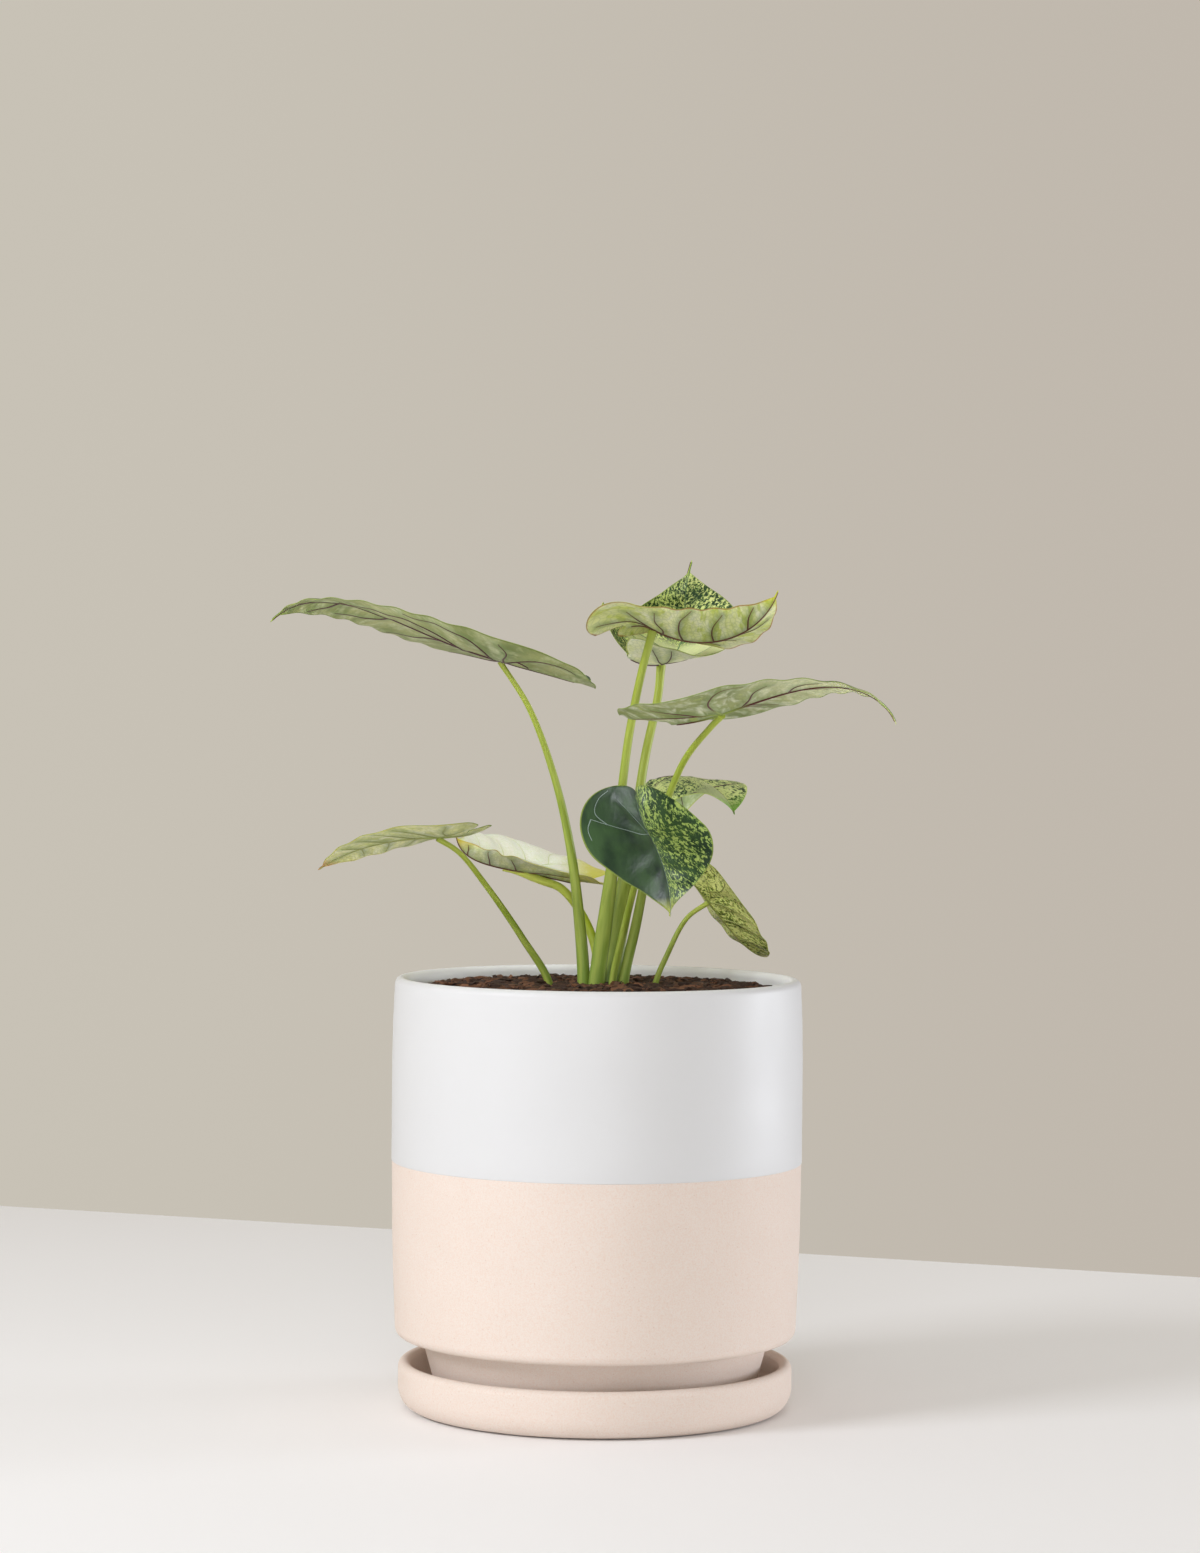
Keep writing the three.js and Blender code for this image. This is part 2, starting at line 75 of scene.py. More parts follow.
def laid_over(tree, below, colour, value, start=0.0, full=1.0, most=1.0, **settings):
    """Lays a hex colour over the one below, a hex colour or an output: none of it where the value is at
    start, the most where it is at full."""
    share = put(tree, "MapRange", {
        "Value": value, "From Min": start, "From Max": full, "To Max": most}, **settings)
    under = linear(below) if isinstance(below, str) else below
    return put(tree, "MixRGB", {"Fac": share, "Color1": under, "Color2": linear(colour)})


def surface(name, roughness, ior=1.5, glow=0.0, glow_reach=(1.0, 1.0, 1.0), glow_depth=1.0):
    """A new material, its node tree and its main shader. glow is the share of the light that passes
    under the skin, to glow_depth in millimetres, as far in red, green and blue as glow_reach."""
    material = bpy.data.materials.new(name)
    material.use_nodes = True
    shader = material.node_tree.nodes["Principled BSDF"]
    shader.inputs["Roughness"].default_value = roughness
    shader.inputs["IOR"].default_value = ior
    shader.inputs["Subsurface Weight"].default_value = glow
    shader.inputs["Subsurface Radius"].default_value = glow_reach
    shader.inputs["Subsurface Scale"].default_value = glow_depth * MM
    return material, material.node_tree, shader


def clothed(tree, shader, colour, height, strength, depth):
    """Feeds the shader its colour and a relief, depth millimetres deep, that follows the height."""
    relief = put(tree, "Bump", {"Strength": strength, "Distance": depth * MM, "Height": height})
    tree.links.new(colour, shader.inputs["Base Color"])
    tree.links.new(relief, shader.inputs["Normal"])


def piece(name, points, faces, materials, face_materials=None, sharp_degrees=40):
    """A mesh object from points in millimetres, smooth but for edges sharper than sharp_degrees."""
    mesh = bpy.data.meshes.new(name)
    mesh.from_pydata((np.asarray(points, float) * MM).tolist(), [], faces)
    mesh.polygons.foreach_set("use_smooth", [True] * len(mesh.polygons))
    mesh.set_sharp_from_angle(angle=math.radians(sharp_degrees))
    for material in materials:
        mesh.materials.append(material)
    if face_materials is not None:
        mesh.polygons.foreach_set("material_index", face_materials)
    mesh.validate()
    made = bpy.data.objects.new(name, mesh)
    bpy.context.scene.collection.objects.link(made)
    return made


def arc(centre, radii, start, end, steps):
    """Points [radius, height] on an ellipse's arc, with its angles in degrees."""
    angles = np.radians(np.linspace(start, end, steps + 1))
    return [[centre[0] + radii[0] * math.cos(a), centre[1] + radii[1] * math.sin(a)] for a in angles]


def turned(profile, closed):
    """Points and faces of a profile turned round Z. A closed one is a ring, others end on the axis."""
    points, faces, rings = [], [], []
    for radius, height in profile:
        count = 1 if radius < 1e-6 else ROUND_SIDES
        rings.append(list(range(len(points), len(points) + count)))
        for k in range(count):
            angle = 2 * math.pi * k / ROUND_SIDES
            points.append([radius * math.cos(angle), radius * math.sin(angle), height])
    pairs = list(zip(rings, rings[1:])) + ([(rings[-1], rings[0])] if closed else [])
    for low, high in pairs:
        for k in range(ROUND_SIDES):
            after = (k + 1) % ROUND_SIDES
            corners = [
                ring[n % len(ring)] for ring, n in ((low, k), (low, after), (high, after), (high, k))]
            faces.append(tuple(dict.fromkeys(corners)))
    return points, faces


# Bisque stoneware: fired clay with fine grog left bare, so it is matt, faintly speckled and sandy.
GROG_MM = 0.55
SPECK_MM = 2.6
CLAY_CLOUD_MM = 22
clay, tree, shader = surface("bare bisque stoneware", 0.88)
place = put(tree, "TexCoord", {}, "Object")
grog = put(tree, "TexNoise", {
    "Vector": place, "Scale": 1 / (GROG_MM * MM), "Detail": 3.0, "Roughness": 0.7})
cloud = put(tree, "TexNoise", {"Vector": place, "Scale": 1 / (CLAY_CLOUD_MM * MM), "Detail": 2.0})
speck = put(tree, "TexVoronoi", {"Vector": place, "Scale": 1 / (SPECK_MM * MM)})
colour = laid_over(tree, "DFD3C9", "DBCEC3", cloud)
colour = laid_over(tree, colour, "D9BBA8", grog, 0.42, 0.68, 0.55)
colour = laid_over(tree, colour, "B98D74", speck, 0.12, 0.05, 0.3)
clothed(tree, shader, colour, grog, 0.35, 0.25)

saucer_profile = [
    [0, 0],
    [SAUCER_BASE_RADIUS - 2.6, 0],
    [SAUCER_BASE_RADIUS - 1.8, 0.02],
    *arc((SAUCER_BASE_RADIUS, 8.5), (SAUCER_RADIUS - SAUCER_BASE_RADIUS, 8.2), -84, 0, 16),
    *arc((SAUCER_RADIUS - SAUCER_LIP_HALF, SAUCER_LIP_Z), (SAUCER_LIP_HALF, 2.6), 0, 180, 18),
    *arc((62.4, 9.6), (4.8, 4.4), 0, -90, 10),
    [61, SAUCER_FLOOR_Z],
    [0, SAUCER_FLOOR_Z],
]
saucer = piece("saucer_dish", *turned(saucer_profile, False), [clay])
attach(saucer, "root")
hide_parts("saucer")

# The pot: a slip-cast stoneware cylinder. Its wall ends in a rounded skirt over a narrower foot,
# and its floor has one drain hole. The clay is bare from the foot up to the dip line of the glaze.

POT_RADIUS = 75.0
POT_WALL = 4.6
RIM_Z = 157.3
RIM_RADIUS = 74.2
DIP_LINE_Z = 90.5
GLAZE_COAT = 0.3
FOOT_Z = 5.5
FLOOR_Z = 17.5
DRAIN_RADIUS = 6.0
lip_centre = (RIM_RADIUS - POT_WALL / 2, RIM_Z - 2.6)
inner_radius = POT_RADIUS - POT_WALL

pot_profile = [
    [52.6, FOOT_Z],
    *arc((57.2, FOOT_Z + 0.8), (0.6, 0.8), -90, -10, 4),
    [60.6, 15.6],
    [63.0, 24.4],
    *arc((64.2, 24.6), (1.1, 1.6), 175, 95, 6),
    [70.4, 26.5],
    *arc((70.5, 30.1), (2.8, 3.5), -80, 0, 12),
    [73.9, 45],
    [74.55, 65.5],
    [POT_RADIUS - 0.2, DIP_LINE_Z - 0.6],
    [POT_RADIUS - 0.2, DIP_LINE_Z + 0.4],
    [POT_RADIUS - GLAZE_COAT - 0.15, DIP_LINE_Z + 1.5],
    [POT_RADIUS - GLAZE_COAT - 0.15, 128.5],
    *arc(lip_centre, (POT_WALL / 2 - 0.4, 2.1), 0, 180, 12),
    [inner_radius - 0.1, DIP_LINE_Z + 30],
    [inner_radius - 0.6, DIP_LINE_Z],
    [inner_radius - 1.4, 42],
    [inner_radius - 7, 26],
    [53, FLOOR_Z],
    [DRAIN_RADIUS + 0.6, FLOOR_Z],
    [DRAIN_RADIUS, FLOOR_Z - 0.6],
    [DRAIN_RADIUS, FOOT_Z + 4.5],
    [DRAIN_RADIUS + 0.5, FOOT_Z + 4],
    [50.6, FOOT_Z + 4],
    [51.6, FOOT_Z + 3],
]
pot = piece("pot_body", *turned(pot_profile, True), [clay])
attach(pot, "root")
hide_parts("pot")

# The glaze: the upper half of the pot is dipped in a satin white glaze, a coat a third of a
# millimetre thick that runs over the lip and down inside, and ends in a crisp, slightly raised line.

# Satin white glaze: fired glass with fine crystals, smooth with a soft sheen and slight orange peel.
# Inside the lip and down the inner wall it is painted whiter: painted light that lifts the shade inside the
# pot.
PEEL_MM = 2.2
POOL_MM = 30
LIP_OUTSIDE = 73.6
LIP_INSIDE = 70.8
glaze, tree, shader = surface("satin white glaze", 0.53, 1.52)
place = put(tree, "TexCoord", {}, "Object")
peel = put(tree, "TexNoise", {"Vector": place, "Scale": 1 / (PEEL_MM * MM), "Detail": 2.0})
pool = put(tree, "TexNoise", {"Vector": place, "Scale": 1 / (POOL_MM * MM), "Detail": 2.0})
flat_place = put(tree, "VectorMath", {0: place, 1: (1, 1, 0)}, operation="MULTIPLY")
from_axis = put(tree, "VectorMath", {0: flat_place}, "Value", operation="LENGTH")
colour = laid_over(tree, "D2D2D2", "CFCFCF", pool)
# Painted light: inward of the lip's crest the glaze is laid nearly white, lifting the shade on the inner
# wall.
colour = laid_over(tree, colour, "F4F4F3", from_axis, LIP_OUTSIDE * MM, LIP_INSIDE * MM)
silky = put(tree, "MapRange", {
    "Value": pool, "From Min": 0.3, "From Max": 0.7, "To Min": 0.48, "To Max": 0.58})
tree.links.new(silky, shader.inputs["Roughness"])
clothed(tree, shader, colour, peel, 0.12, 0.1)

glaze_profile = [
    *arc((POT_RADIUS - 0.3, DIP_LINE_Z + 0.3), (0.3, 0.3), -90, 0, 4),
    [POT_RADIUS, DIP_LINE_Z + 6],
    [POT_RADIUS, 128.5],
    [POT_RADIUS - 0.25, 142],
    *arc(lip_centre, (POT_WALL / 2, 2.6), 0, 180, 20),
    [inner_radius - 0.45, DIP_LINE_Z + 30],
    [inner_radius - 0.2, DIP_LINE_Z + 29],
    *arc(lip_centre, (POT_WALL / 2 - 0.35, 2.2), 180, 0, 12),
    [POT_RADIUS - GLAZE_COAT, 128.5],
    [POT_RADIUS - GLAZE_COAT, DIP_LINE_Z],
]
coat = piece("pot_glaze", *turned(glaze_profile, True), [glaze])
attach(coat, "root")
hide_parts("pot")

# The soil: peat and bark mix pressed in to just under the rim. A bumpy bed fills the pot, with
# loose flakes of bark and crumbs of peat lying on it.

SOIL_EDGE_Z = 152.6
SOIL_MOUND = 1.5
FLAKES = 1150
CRUMBS = 2600
soil_radius = inner_radius - 1.3
chance = np.random.default_rng(7)


def soil_height(x, y):
    """Height of the soil: a low mound with the uneven swell of loose bark."""
    away = np.hypot(x, y) / inner_radius
    chips = np.sin(x * 0.41 + 1.3 * np.sin(y * 0.23)) * np.cos(y * 0.37 + 0.8 * np.sin(x * 0.19))
    return SOIL_EDGE_Z + SOIL_MOUND * (1 - away * away) + 0.7 * chips * np.clip((1 - away) * 6, 0, 1)


# Bark mix: shredded bark and peat, damp and dark brown with reddish flakes, and not shiny.
FIBRE_MM = 0.9
bark, tree, shader = surface("damp bark mix", 0.85)
place = put(tree, "TexCoord", {}, "Object")
fibre = put(tree, "TexNoise", {
    "Vector": place, "Scale": 1 / (FIBRE_MM * MM), "Detail": 4.0, "Roughness": 0.65})
tone = put(tree, "Attribute", {}, "Fac", attribute_name="tone")
colour = laid_over(tree, "1E130D", "513626", fibre)
colour = laid_over(tree, colour, "84583C", tone, 0.45, 1.0, 0.9)
clothed(tree, shader, colour, fibre, 0.8, 0.5)


def with_values(made, **values):
    """Stores a number or a vector for each vertex, which the materials read by its name."""
    for name, numbers in values.items():
        numbers = np.asarray(numbers, np.float32)
        kind, key = ("FLOAT", "value") if numbers.ndim == 1 else ("FLOAT_VECTOR", "vector")
        made.data.attributes.new(name, kind, "POINT").data.foreach_set(key, numbers.ravel())


BED_RINGS = 60
BED_TONE = 0.2
bed_profile = [[soil_radius * k / BED_RINGS, 0] for k in range(BED_RINGS + 1)]
bed_profile += [[soil_radius, 130], [67.5, 42], [62, 26.6], [52, 17.9], [0, 17.9]]
bed_points, bed_faces = turned(bed_profile, False)
bed_points = np.array(bed_points)
top = bed_points[:, 2] == 0
flat_x, flat_y = bed_points[top, 0], bed_points[top, 1]
crumbly = np.sin(flat_x * 1.9 + 2 * np.sin(flat_y * 1.3)) * np.cos(flat_y * 2.3 + np.sin(flat_x * 1.7))
bed_points[top, 2] = soil_height(flat_x, flat_y) - 0.6 + 0.55 * crumbly
bed = piece("soil_bed", bed_points, bed_faces, [bark])
with_values(bed, tone=np.full(len(bed_points), BED_TONE))
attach(bed, "root")
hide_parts("soil")

# A flake or a crumb starts as a ball of twenty triangles with a radius of about one.
GOLDEN = (1 + math.sqrt(5)) / 2
ball_points = np.array([
    [-1, GOLDEN, 0], [1, GOLDEN, 0], [-1, -GOLDEN, 0], [1, -GOLDEN, 0],
    [0, -1, GOLDEN], [0, 1, GOLDEN], [0, -1, -GOLDEN], [0, 1, -GOLDEN],
    [GOLDEN, 0, -1], [GOLDEN, 0, 1], [-GOLDEN, 0, -1], [-GOLDEN, 0, 1]]) / 1.9
ball_faces = [
    (0, 11, 5), (0, 5, 1), (0, 1, 7), (0, 7, 10), (0, 10, 11), (1, 5, 9), (5, 11, 4), (11, 10, 2),
    (10, 7, 6), (7, 1, 8), (3, 9, 4), (3, 4, 2), (3, 2, 6), (3, 6, 8), (3, 8, 9), (4, 9, 5),
    (2, 4, 11), (6, 2, 10), (8, 6, 7), (9, 8, 1)]


def turn_about(axis, angle):
    """Rotation matrices by angle radians about X (0) or Z (2), one for each angle."""
    c, s, one, nil = np.cos(angle), np.sin(angle), np.ones_like(angle), np.zeros_like(angle)
    if axis == 0:
        rows = [[one, nil, nil], [nil, c, -s], [nil, s, c]]
    else:
        rows = [[c, -s, nil], [s, c, nil], [nil, nil, one]]
    return np.moveaxis(np.array(rows), 2, 0)


def scattered(name, count, sizes, reach, lean):
    """count rough lumps on the soil, each with its own size, turn and tone, as one piece."""
    corners = len(ball_points)
    lumps = ball_points[None] * (1 + chance.uniform(-0.3, 0.3, (count, corners, 1)))
    scale = np.stack([chance.uniform(*size, count) for size in sizes], 1)
    lumps = lumps * scale[:, None, :] * 0.5
    lumps = lumps @ turn_about(0, chance.uniform(-lean, lean, count)).transpose(0, 2, 1)
    lumps = lumps @ turn_about(2, chance.uniform(0, 2 * math.pi, count)).transpose(0, 2, 1)
    away = reach * np.sqrt(chance.uniform(0, 1, count))
    angle = chance.uniform(0, 2 * math.pi, count)
    x, y = away * np.cos(angle), away * np.sin(angle)
    z = soil_height(x, y) + scale[:, 2] * 0.1
    points = (lumps + np.stack([x, y, z], 1)[:, None, :]).reshape(-1, 3)
    faces = [tuple(corners * k + c for c in face) for k in range(count) for face in ball_faces]
    made = piece(name, points, faces, [bark], sharp_degrees=25)
    with_values(made, tone=np.repeat(chance.uniform(0, 1, count) ** 1.2, corners))
    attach(made, "root")


scattered("bark_flakes", FLAKES, [(3.5, 8.5), (2.0, 4.5), (0.8, 2.2)], soil_radius - 4.5, 0.8)
scattered("peat_crumbs", CRUMBS, [(0.9, 2.4), (0.8, 2.0), (0.6, 1.4)], soil_radius - 1.5, 1.5)

# The stalks: nine smooth, juicy leaf stalks that rise from one crown in the soil. Each is thickest
# at its base, bends under its leaf and runs on into the ribs beneath the blade.

# The leaves in millimetres and degrees. The hub is where the stalk joins; front, back and half are how
# far the blade reaches ahead of it, behind it and to each side, and joined is the share of the rear
# that has no notch. The midline has its heading, rise and bank at the hub; swing turns it sideways
# towards the tip, arch and droop turn it upwards, bank_on tips it, and back_tilt turns the rear. Each
# half, the left one first, leaves the midline at its fold, more by fold_on at the tip, and bends by its
# curl up to the margin, which ripples by wave.
LEAF_VALUES = (
    "hub", "front", "back", "half", "joined", "heading", "swing", "rise", "arch", "droop", "back_tilt",
    "bank", "bank_on", "fold", "fold_on", "curl", "wave")
LEAF_ROWS = {
    "a": ((-36.7, -4, 273), 91, 35, 36, 0.58, 185, -28, 14, 38, -99, 5,
          3, 16, (-12, -1), -12, (39, 13), 0.7),
    "b": ((18.9, -16, 284.5), 57, 18, 30, 0.55, -22, -14, -27, 76, 20, 81,
          0, -16, (13, 12), 9, (-33, 12), 0.8),
    "c": ((22.4, 28, 272.5), 47, 33, 32, 0.57, 48, 128, 9, 154, -58, -53,
          13, -20, (18, 15), -3, (15, 16), 0.8),
    "d": ((42.9, -42, 254.2), 70, 35, 29, 0.55, -21, 17, 19, -1, -89, -25,
          3, -5, (10, 11), -14, (-28, 11), 0.8),
    "e": ((29, 46, 230), 29, 15, 29, 0.59, -18, -27, -2, -50, -12, 33,
          -6, 5, (-2, -12), 38, (-21, -51), 0.6),
    "f": ((17.3, -40, 210.9), 31, 19, 34, 0.81, -38, 7, -52, -38, 0, -36,
          -20, 14, (-22, 1), 3, (103, -56), 0.4),
    "g": ((40.3, 5, 185.1), 39, 21, 21, 0.6, 37, 17, -45, -1, 47, 0,
          4, -1, (25, 12), -10, (-5, -19), 0.8),
    "h": ((-58.5, -14, 208.6), 49, 18, 23, 0.58, 169, -20, -1, -25, -8, -19,
          10, 6, (-6, 7), -8, (17, 2), 0.6),
    "i": ((-27, 28, 194.2), 34, 30, 25, 0.64, 186, 58, 11, -2, 66, 4,
          -8, -5, (23, 51), 8, (-9, -70), 1.2),
}
LEAVES = {name: dict(zip(LEAF_VALUES, row), name=name) for name, row in LEAF_ROWS.items()}
ROUTES = {
    "a": [(-5.2, 7, 153.6), (-6.9, 5, 176), (-10.8, 2.4, 205.5), (-16.8, 0.1, 230.8), (-26.1, -2.3, 255.6)],
    "b": [(-0.6, 4, 153.8), (2.6, -0.1, 180), (6.4, -4.9, 211.4), (10.4, -10.3, 246), (15.2, -14.6, 271)],
    "c": [(3.3, 9, 153.5), (7.1, 12.9, 177.6), (12.4, 18, 208.9), (16.6, 22.6, 237.3), (21.3, 26.3, 260.4)],
    "d": [(9.1, 8, 153.6), (13.7, 6, 176.4), (19.6, 0, 206.2), (29.6, -16, 235.6), (39, -35, 249)],
    "e": [(6.6, 14, 153.2), (10.2, 22, 177), (16.5, 33, 203.5), (23, 41, 220)],
    "f": [(5.1, 2, 154), (8.5, -6, 172), (12.2, -18, 189), (15.4, -31, 202.5)],
    "g": [(20.9, 7, 153.8), (25.2, 6.3, 165.3), (32.4, 5.5, 179)],
    "h": [(-17.7, 7, 153.5), (-27.7, 2.2, 171), (-41.5, -5.6, 191.3), (-50.9, -10.9, 203)],
    "i": [(-1.9, 12, 153.3), (-0.7, 15.5, 164.5), (-5.5, 19.6, 177.9), (-14.1, 23.8, 188.6),
          (-21, 26, 191.2)],
}
STALK_RADII = {
    "a": (2.4, 0.9), "b": (2.0, 1.4), "c": (2.3, 1.5), "d": (1.7, 1.1), "e": (1.7, 1.1),
    "f": (1.6, 1.1), "g": (1.3, 0.8), "h": (1.7, 0.9), "i": (1.8, 1.5),
}
BURIED = 16.0


def midline(leaf, along):
    """Forward, across and upward directions of a blade's midline, and the share of the way to its tip."""
    along = np.asarray(along, float)
    ahead = np.clip(along / leaf["front"], 0, 1)
    behind = np.clip(-along / leaf["back"], 0, 1)
    share = np.clip(along / leaf["front"], -1, 1)
    slope = np.radians(
        leaf["rise"] + leaf["arch"] * ahead + leaf["droop"] * ahead ** 3 + leaf["back_tilt"] * behind)
    heading = np.radians(leaf["heading"] + leaf["swing"] * ahead ** 2)
    bank = np.radians(leaf["bank"] + leaf["bank_on"] * share)[..., None]
    forward = np.stack([
        np.cos(slope) * np.cos(heading), np.cos(slope) * np.sin(heading), np.sin(slope)], -1)
    level = np.stack([-np.sin(heading), np.cos(heading), 0 * heading], -1)
    upright = np.cross(forward, level)
    across = level * np.cos(bank) + upright * np.sin(bank)
    up = upright * np.cos(bank) - level * np.sin(bank)
    return forward, across, up, share


def spline(points, steps):
    """A smooth line through the points, closer together where they are close (centripetal Catmull-Rom)."""
    knots = [np.array(p, float) for p in points]
    knots = [2 * knots[0] - knots[1], *knots, 2 * knots[-1] - knots[-2]]
    line = []
    for a, b, c, d in zip(knots, knots[1:], knots[2:], knots[3:]):
        before, here, after = [math.sqrt(np.linalg.norm(q - p)) for p, q in ((a, b), (b, c), (c, d))]
        leave = here * ((b - a) / before - (c - a) / (before + here) + (c - b) / here)
        reach = here * ((c - b) / here - (d - b) / (here + after) + (d - c) / after)
        for t in np.linspace(0, 1, steps, endpoint=False):
            line.append(b + leave * t + (3 * (c - b) - 2 * leave - reach) * t ** 2
                        + (2 * (b - c) + leave + reach) * t ** 3)
    return np.array(line + [knots[-2]])


def evenly(line, pitch):
    """The same line with points at an even pitch, and each point's share of the length."""
    length = np.r_[0, np.cumsum(np.linalg.norm(np.diff(line, axis=0), axis=1))]
    share = np.linspace(0, 1, max(4, round(length[-1] / pitch)) + 1)
    return np.stack([np.interp(share * length[-1], length, line[:, k]) for k in range(3)], 1), share


def tube(line, radii, sides, first_side=None):
    """Points, faces and angles of a closed tube. radii is (wide, thick) for each point of the line, and
    first_side is the direction in which it is wide at its start."""
    tangent = np.gradient(line, axis=0)
    tangent /= np.linalg.norm(tangent, axis=1)[:, None]
    side = np.array([0.0, 1.0, 0.0]) if first_side is None else first_side
    points, angles = [], []
    for k, centre in enumerate(line):
        side = side - tangent[k] * (side @ tangent[k])
        side = side / np.linalg.norm(side)
        other = np.cross(tangent[k], side)
        for n in range(sides):
            angle = 2 * math.pi * n / sides
            out = side * radii[k][0] * math.cos(angle) + other * radii[k][1] * math.sin(angle)
            points.append(centre + out)
            angles.append(angle)
    faces = []
    for k in range(len(line) - 1):
        for n in range(sides):
            a, b = k * sides + n, k * sides + (n + 1) % sides
            faces.append((a, b, b + sides, a + sides))
    faces.append(tuple(reversed(range(sides))))
    faces.append(tuple(range((len(line) - 1) * sides, len(line) * sides)))
    return np.array(points), faces, np.array(angles)


# Petiole skin: thin, waxy plant skin over wet tissue, green with pale lengthwise streaks. Real ones
# are about 0.5 mm wide, and are drawn wider so that they show.
STREAK_MM = 1.4


def stalk_skin(name, foot, middle, neck):
    """Skin of one stalk, which changes colour from its foot through its middle to its neck."""
    skin, tree, shader = surface(name, 0.46, 1.42, 0.12, (0.6, 1.0, 0.25), 1.2)
    where = put(tree, "Attribute", {}, "Vector", attribute_name="stalk")
    share = put(tree, "SeparateXYZ", {"Vector": where}, "X")
    drawn_out = put(tree, "Mapping", {"Vector": where, "Scale": (9.0, 1.0, 1.0)})
    streak = put(tree, "TexNoise", {"Vector": drawn_out, "Scale": 1 / STREAK_MM, "Detail": 2.0})
    colour = laid_over(tree, foot, middle, share, 0.05, 0.42, interpolation_type="SMOOTHSTEP")
    colour = laid_over(tree, colour, neck, share, 0.45, 0.95, interpolation_type="SMOOTHSTEP")
    colour = laid_over(tree, colour, "BEC864", streak, 0.42, 0.66, 0.45)
    clothed(tree, shader, colour, streak, 0.2, 0.15)
    return skin


green_skin = stalk_skin("green petiole skin", "7D973D", "859832", "9EAC38")
lime_skin = stalk_skin("young lime petiole skin", "9CB628", "BACC34", "D6DE66")
winged_skin = stalk_skin("pale edged petiole skin", "9FB46E", "879A34", "9EAC38")
STALK_SKINS = dict(e=winged_skin, i=lime_skin)
# The sheaths at the base of these stalks thicken them by this share, up to SHEATH_TOP_Z.
SHEATHS = dict(a=0.12, b=0.6, c=0.7, d=0.25)
SHEATH_TOP_Z = 225
SHEATH_FADE = 50
CROWN_Z = 150
STALK_SIDES = 20
STALK_PITCH = 1.6

for name, route in ROUTES.items():
    hub = np.array(LEAVES[name]["hub"], float)
    forward, _, up, _ = midline(LEAVES[name], 0.0)
    wide, thin = STALK_RADII[name]
    start = np.array(route[0]) - [0, 0, BURIED]
    # The young leaf's stalk runs on a little beneath its blade, and the others end at the hub.
    runs_on = name == "i"
    neck = [hub - up, hub + forward * 9 - up * 0.7] if runs_on else [hub - up * 0.6]
    line, share = evenly(spline([start, *route, *neck], 16), STALK_PITCH)
    radius = wide + (thin - wide) * share ** 0.8
    steps_left = (1 - share) * len(share)
    flare = np.clip(steps_left / 7, 0.35, 1) if runs_on else 1 + 0.22 * np.exp(-steps_left / 2.2)
    crown = 1 + 0.16 * np.exp(-((line[:, 2] - CROWN_Z) / 9) ** 2)
    wrapped = 1 + SHEATHS.get(name, 0) * np.clip((SHEATH_TOP_Z - line[:, 2]) / SHEATH_FADE, 0, 1)
    radii = np.stack([radius * flare * crown, radius * flare * wrapped], 1)
    points, faces, angles = tube(line, radii, STALK_SIDES)
    stalk = piece("petiole_" + name, points, faces, [STALK_SKINS.get(name, green_skin)])
    around = np.repeat(radius, STALK_SIDES)
    with_values(stalk, stalk=np.stack([
        np.repeat(share, STALK_SIDES), around * np.cos(angles), around * np.sin(angles)], 1))
    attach(stalk, "root")
    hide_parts("stalk_" + name)

# The blades: nine thin waxy leaves. Each half puffs up between its side veins and ripples at its
# margin, and the stalk joins the underside at the hub, between the tip and the two rear lobes.

ROW_PITCH = 0.75
COLUMNS = 44
BLADE = 0.45
PUFF = 1.0
PUFF_REACH = 3.0
THIN_RIM = 1.2
VEIN_SPACING = 13.0
LOBE_CENTRE = 0.42
TIP_SHARE = 0.08
VEIN_END_RADIUS = 0.16
MIDLINE_STEP = 0.25
# A blade's outline ahead of the hub: its shoulder, its fullness and its waist. blade_c has a waist.
OUTLINE = (0.95, 2.1, 0.0)
OUTLINES = dict(c=(0.9, 2.8, 0.12))


def half_edges(leaf, along):
    """Inner and outer edge of one half of the flat blade, as distances from its midline."""
    front, back, half, joined = leaf["front"], leaf["back"], leaf["half"], leaf["joined"]
    ahead = np.clip(along / front, 0, 1)
    behind = np.clip(-along / back, 0, 1)
    lobe_end = LOBE_CENTRE * half
    shoulder, fullness, waist = OUTLINES.get(leaf["name"], OUTLINE)
    body = np.clip(1 - (ahead / shoulder) ** fullness, 0, 1)
    body = body * (1 - waist * np.sin(math.pi * np.clip(ahead / shoulder, 0, 1)))
    outer_front = half * ((1 - TIP_SHARE) * body + TIP_SHARE * np.sqrt(1 - ahead))
    outer_rear = lobe_end + (half - lobe_end) * np.clip(1 - behind ** 2.4, 0, 1) ** (1 / 2.4)
    opened = np.clip((behind - joined) / (1 - joined), 0, 1)
    inner_rear = lobe_end * (0.55 * (1 - np.sqrt(1 - opened ** 2)) + 0.45 * opened)
    return np.where(along >= 0, 0, inner_rear), np.where(along >= 0, outer_front, outer_rear)


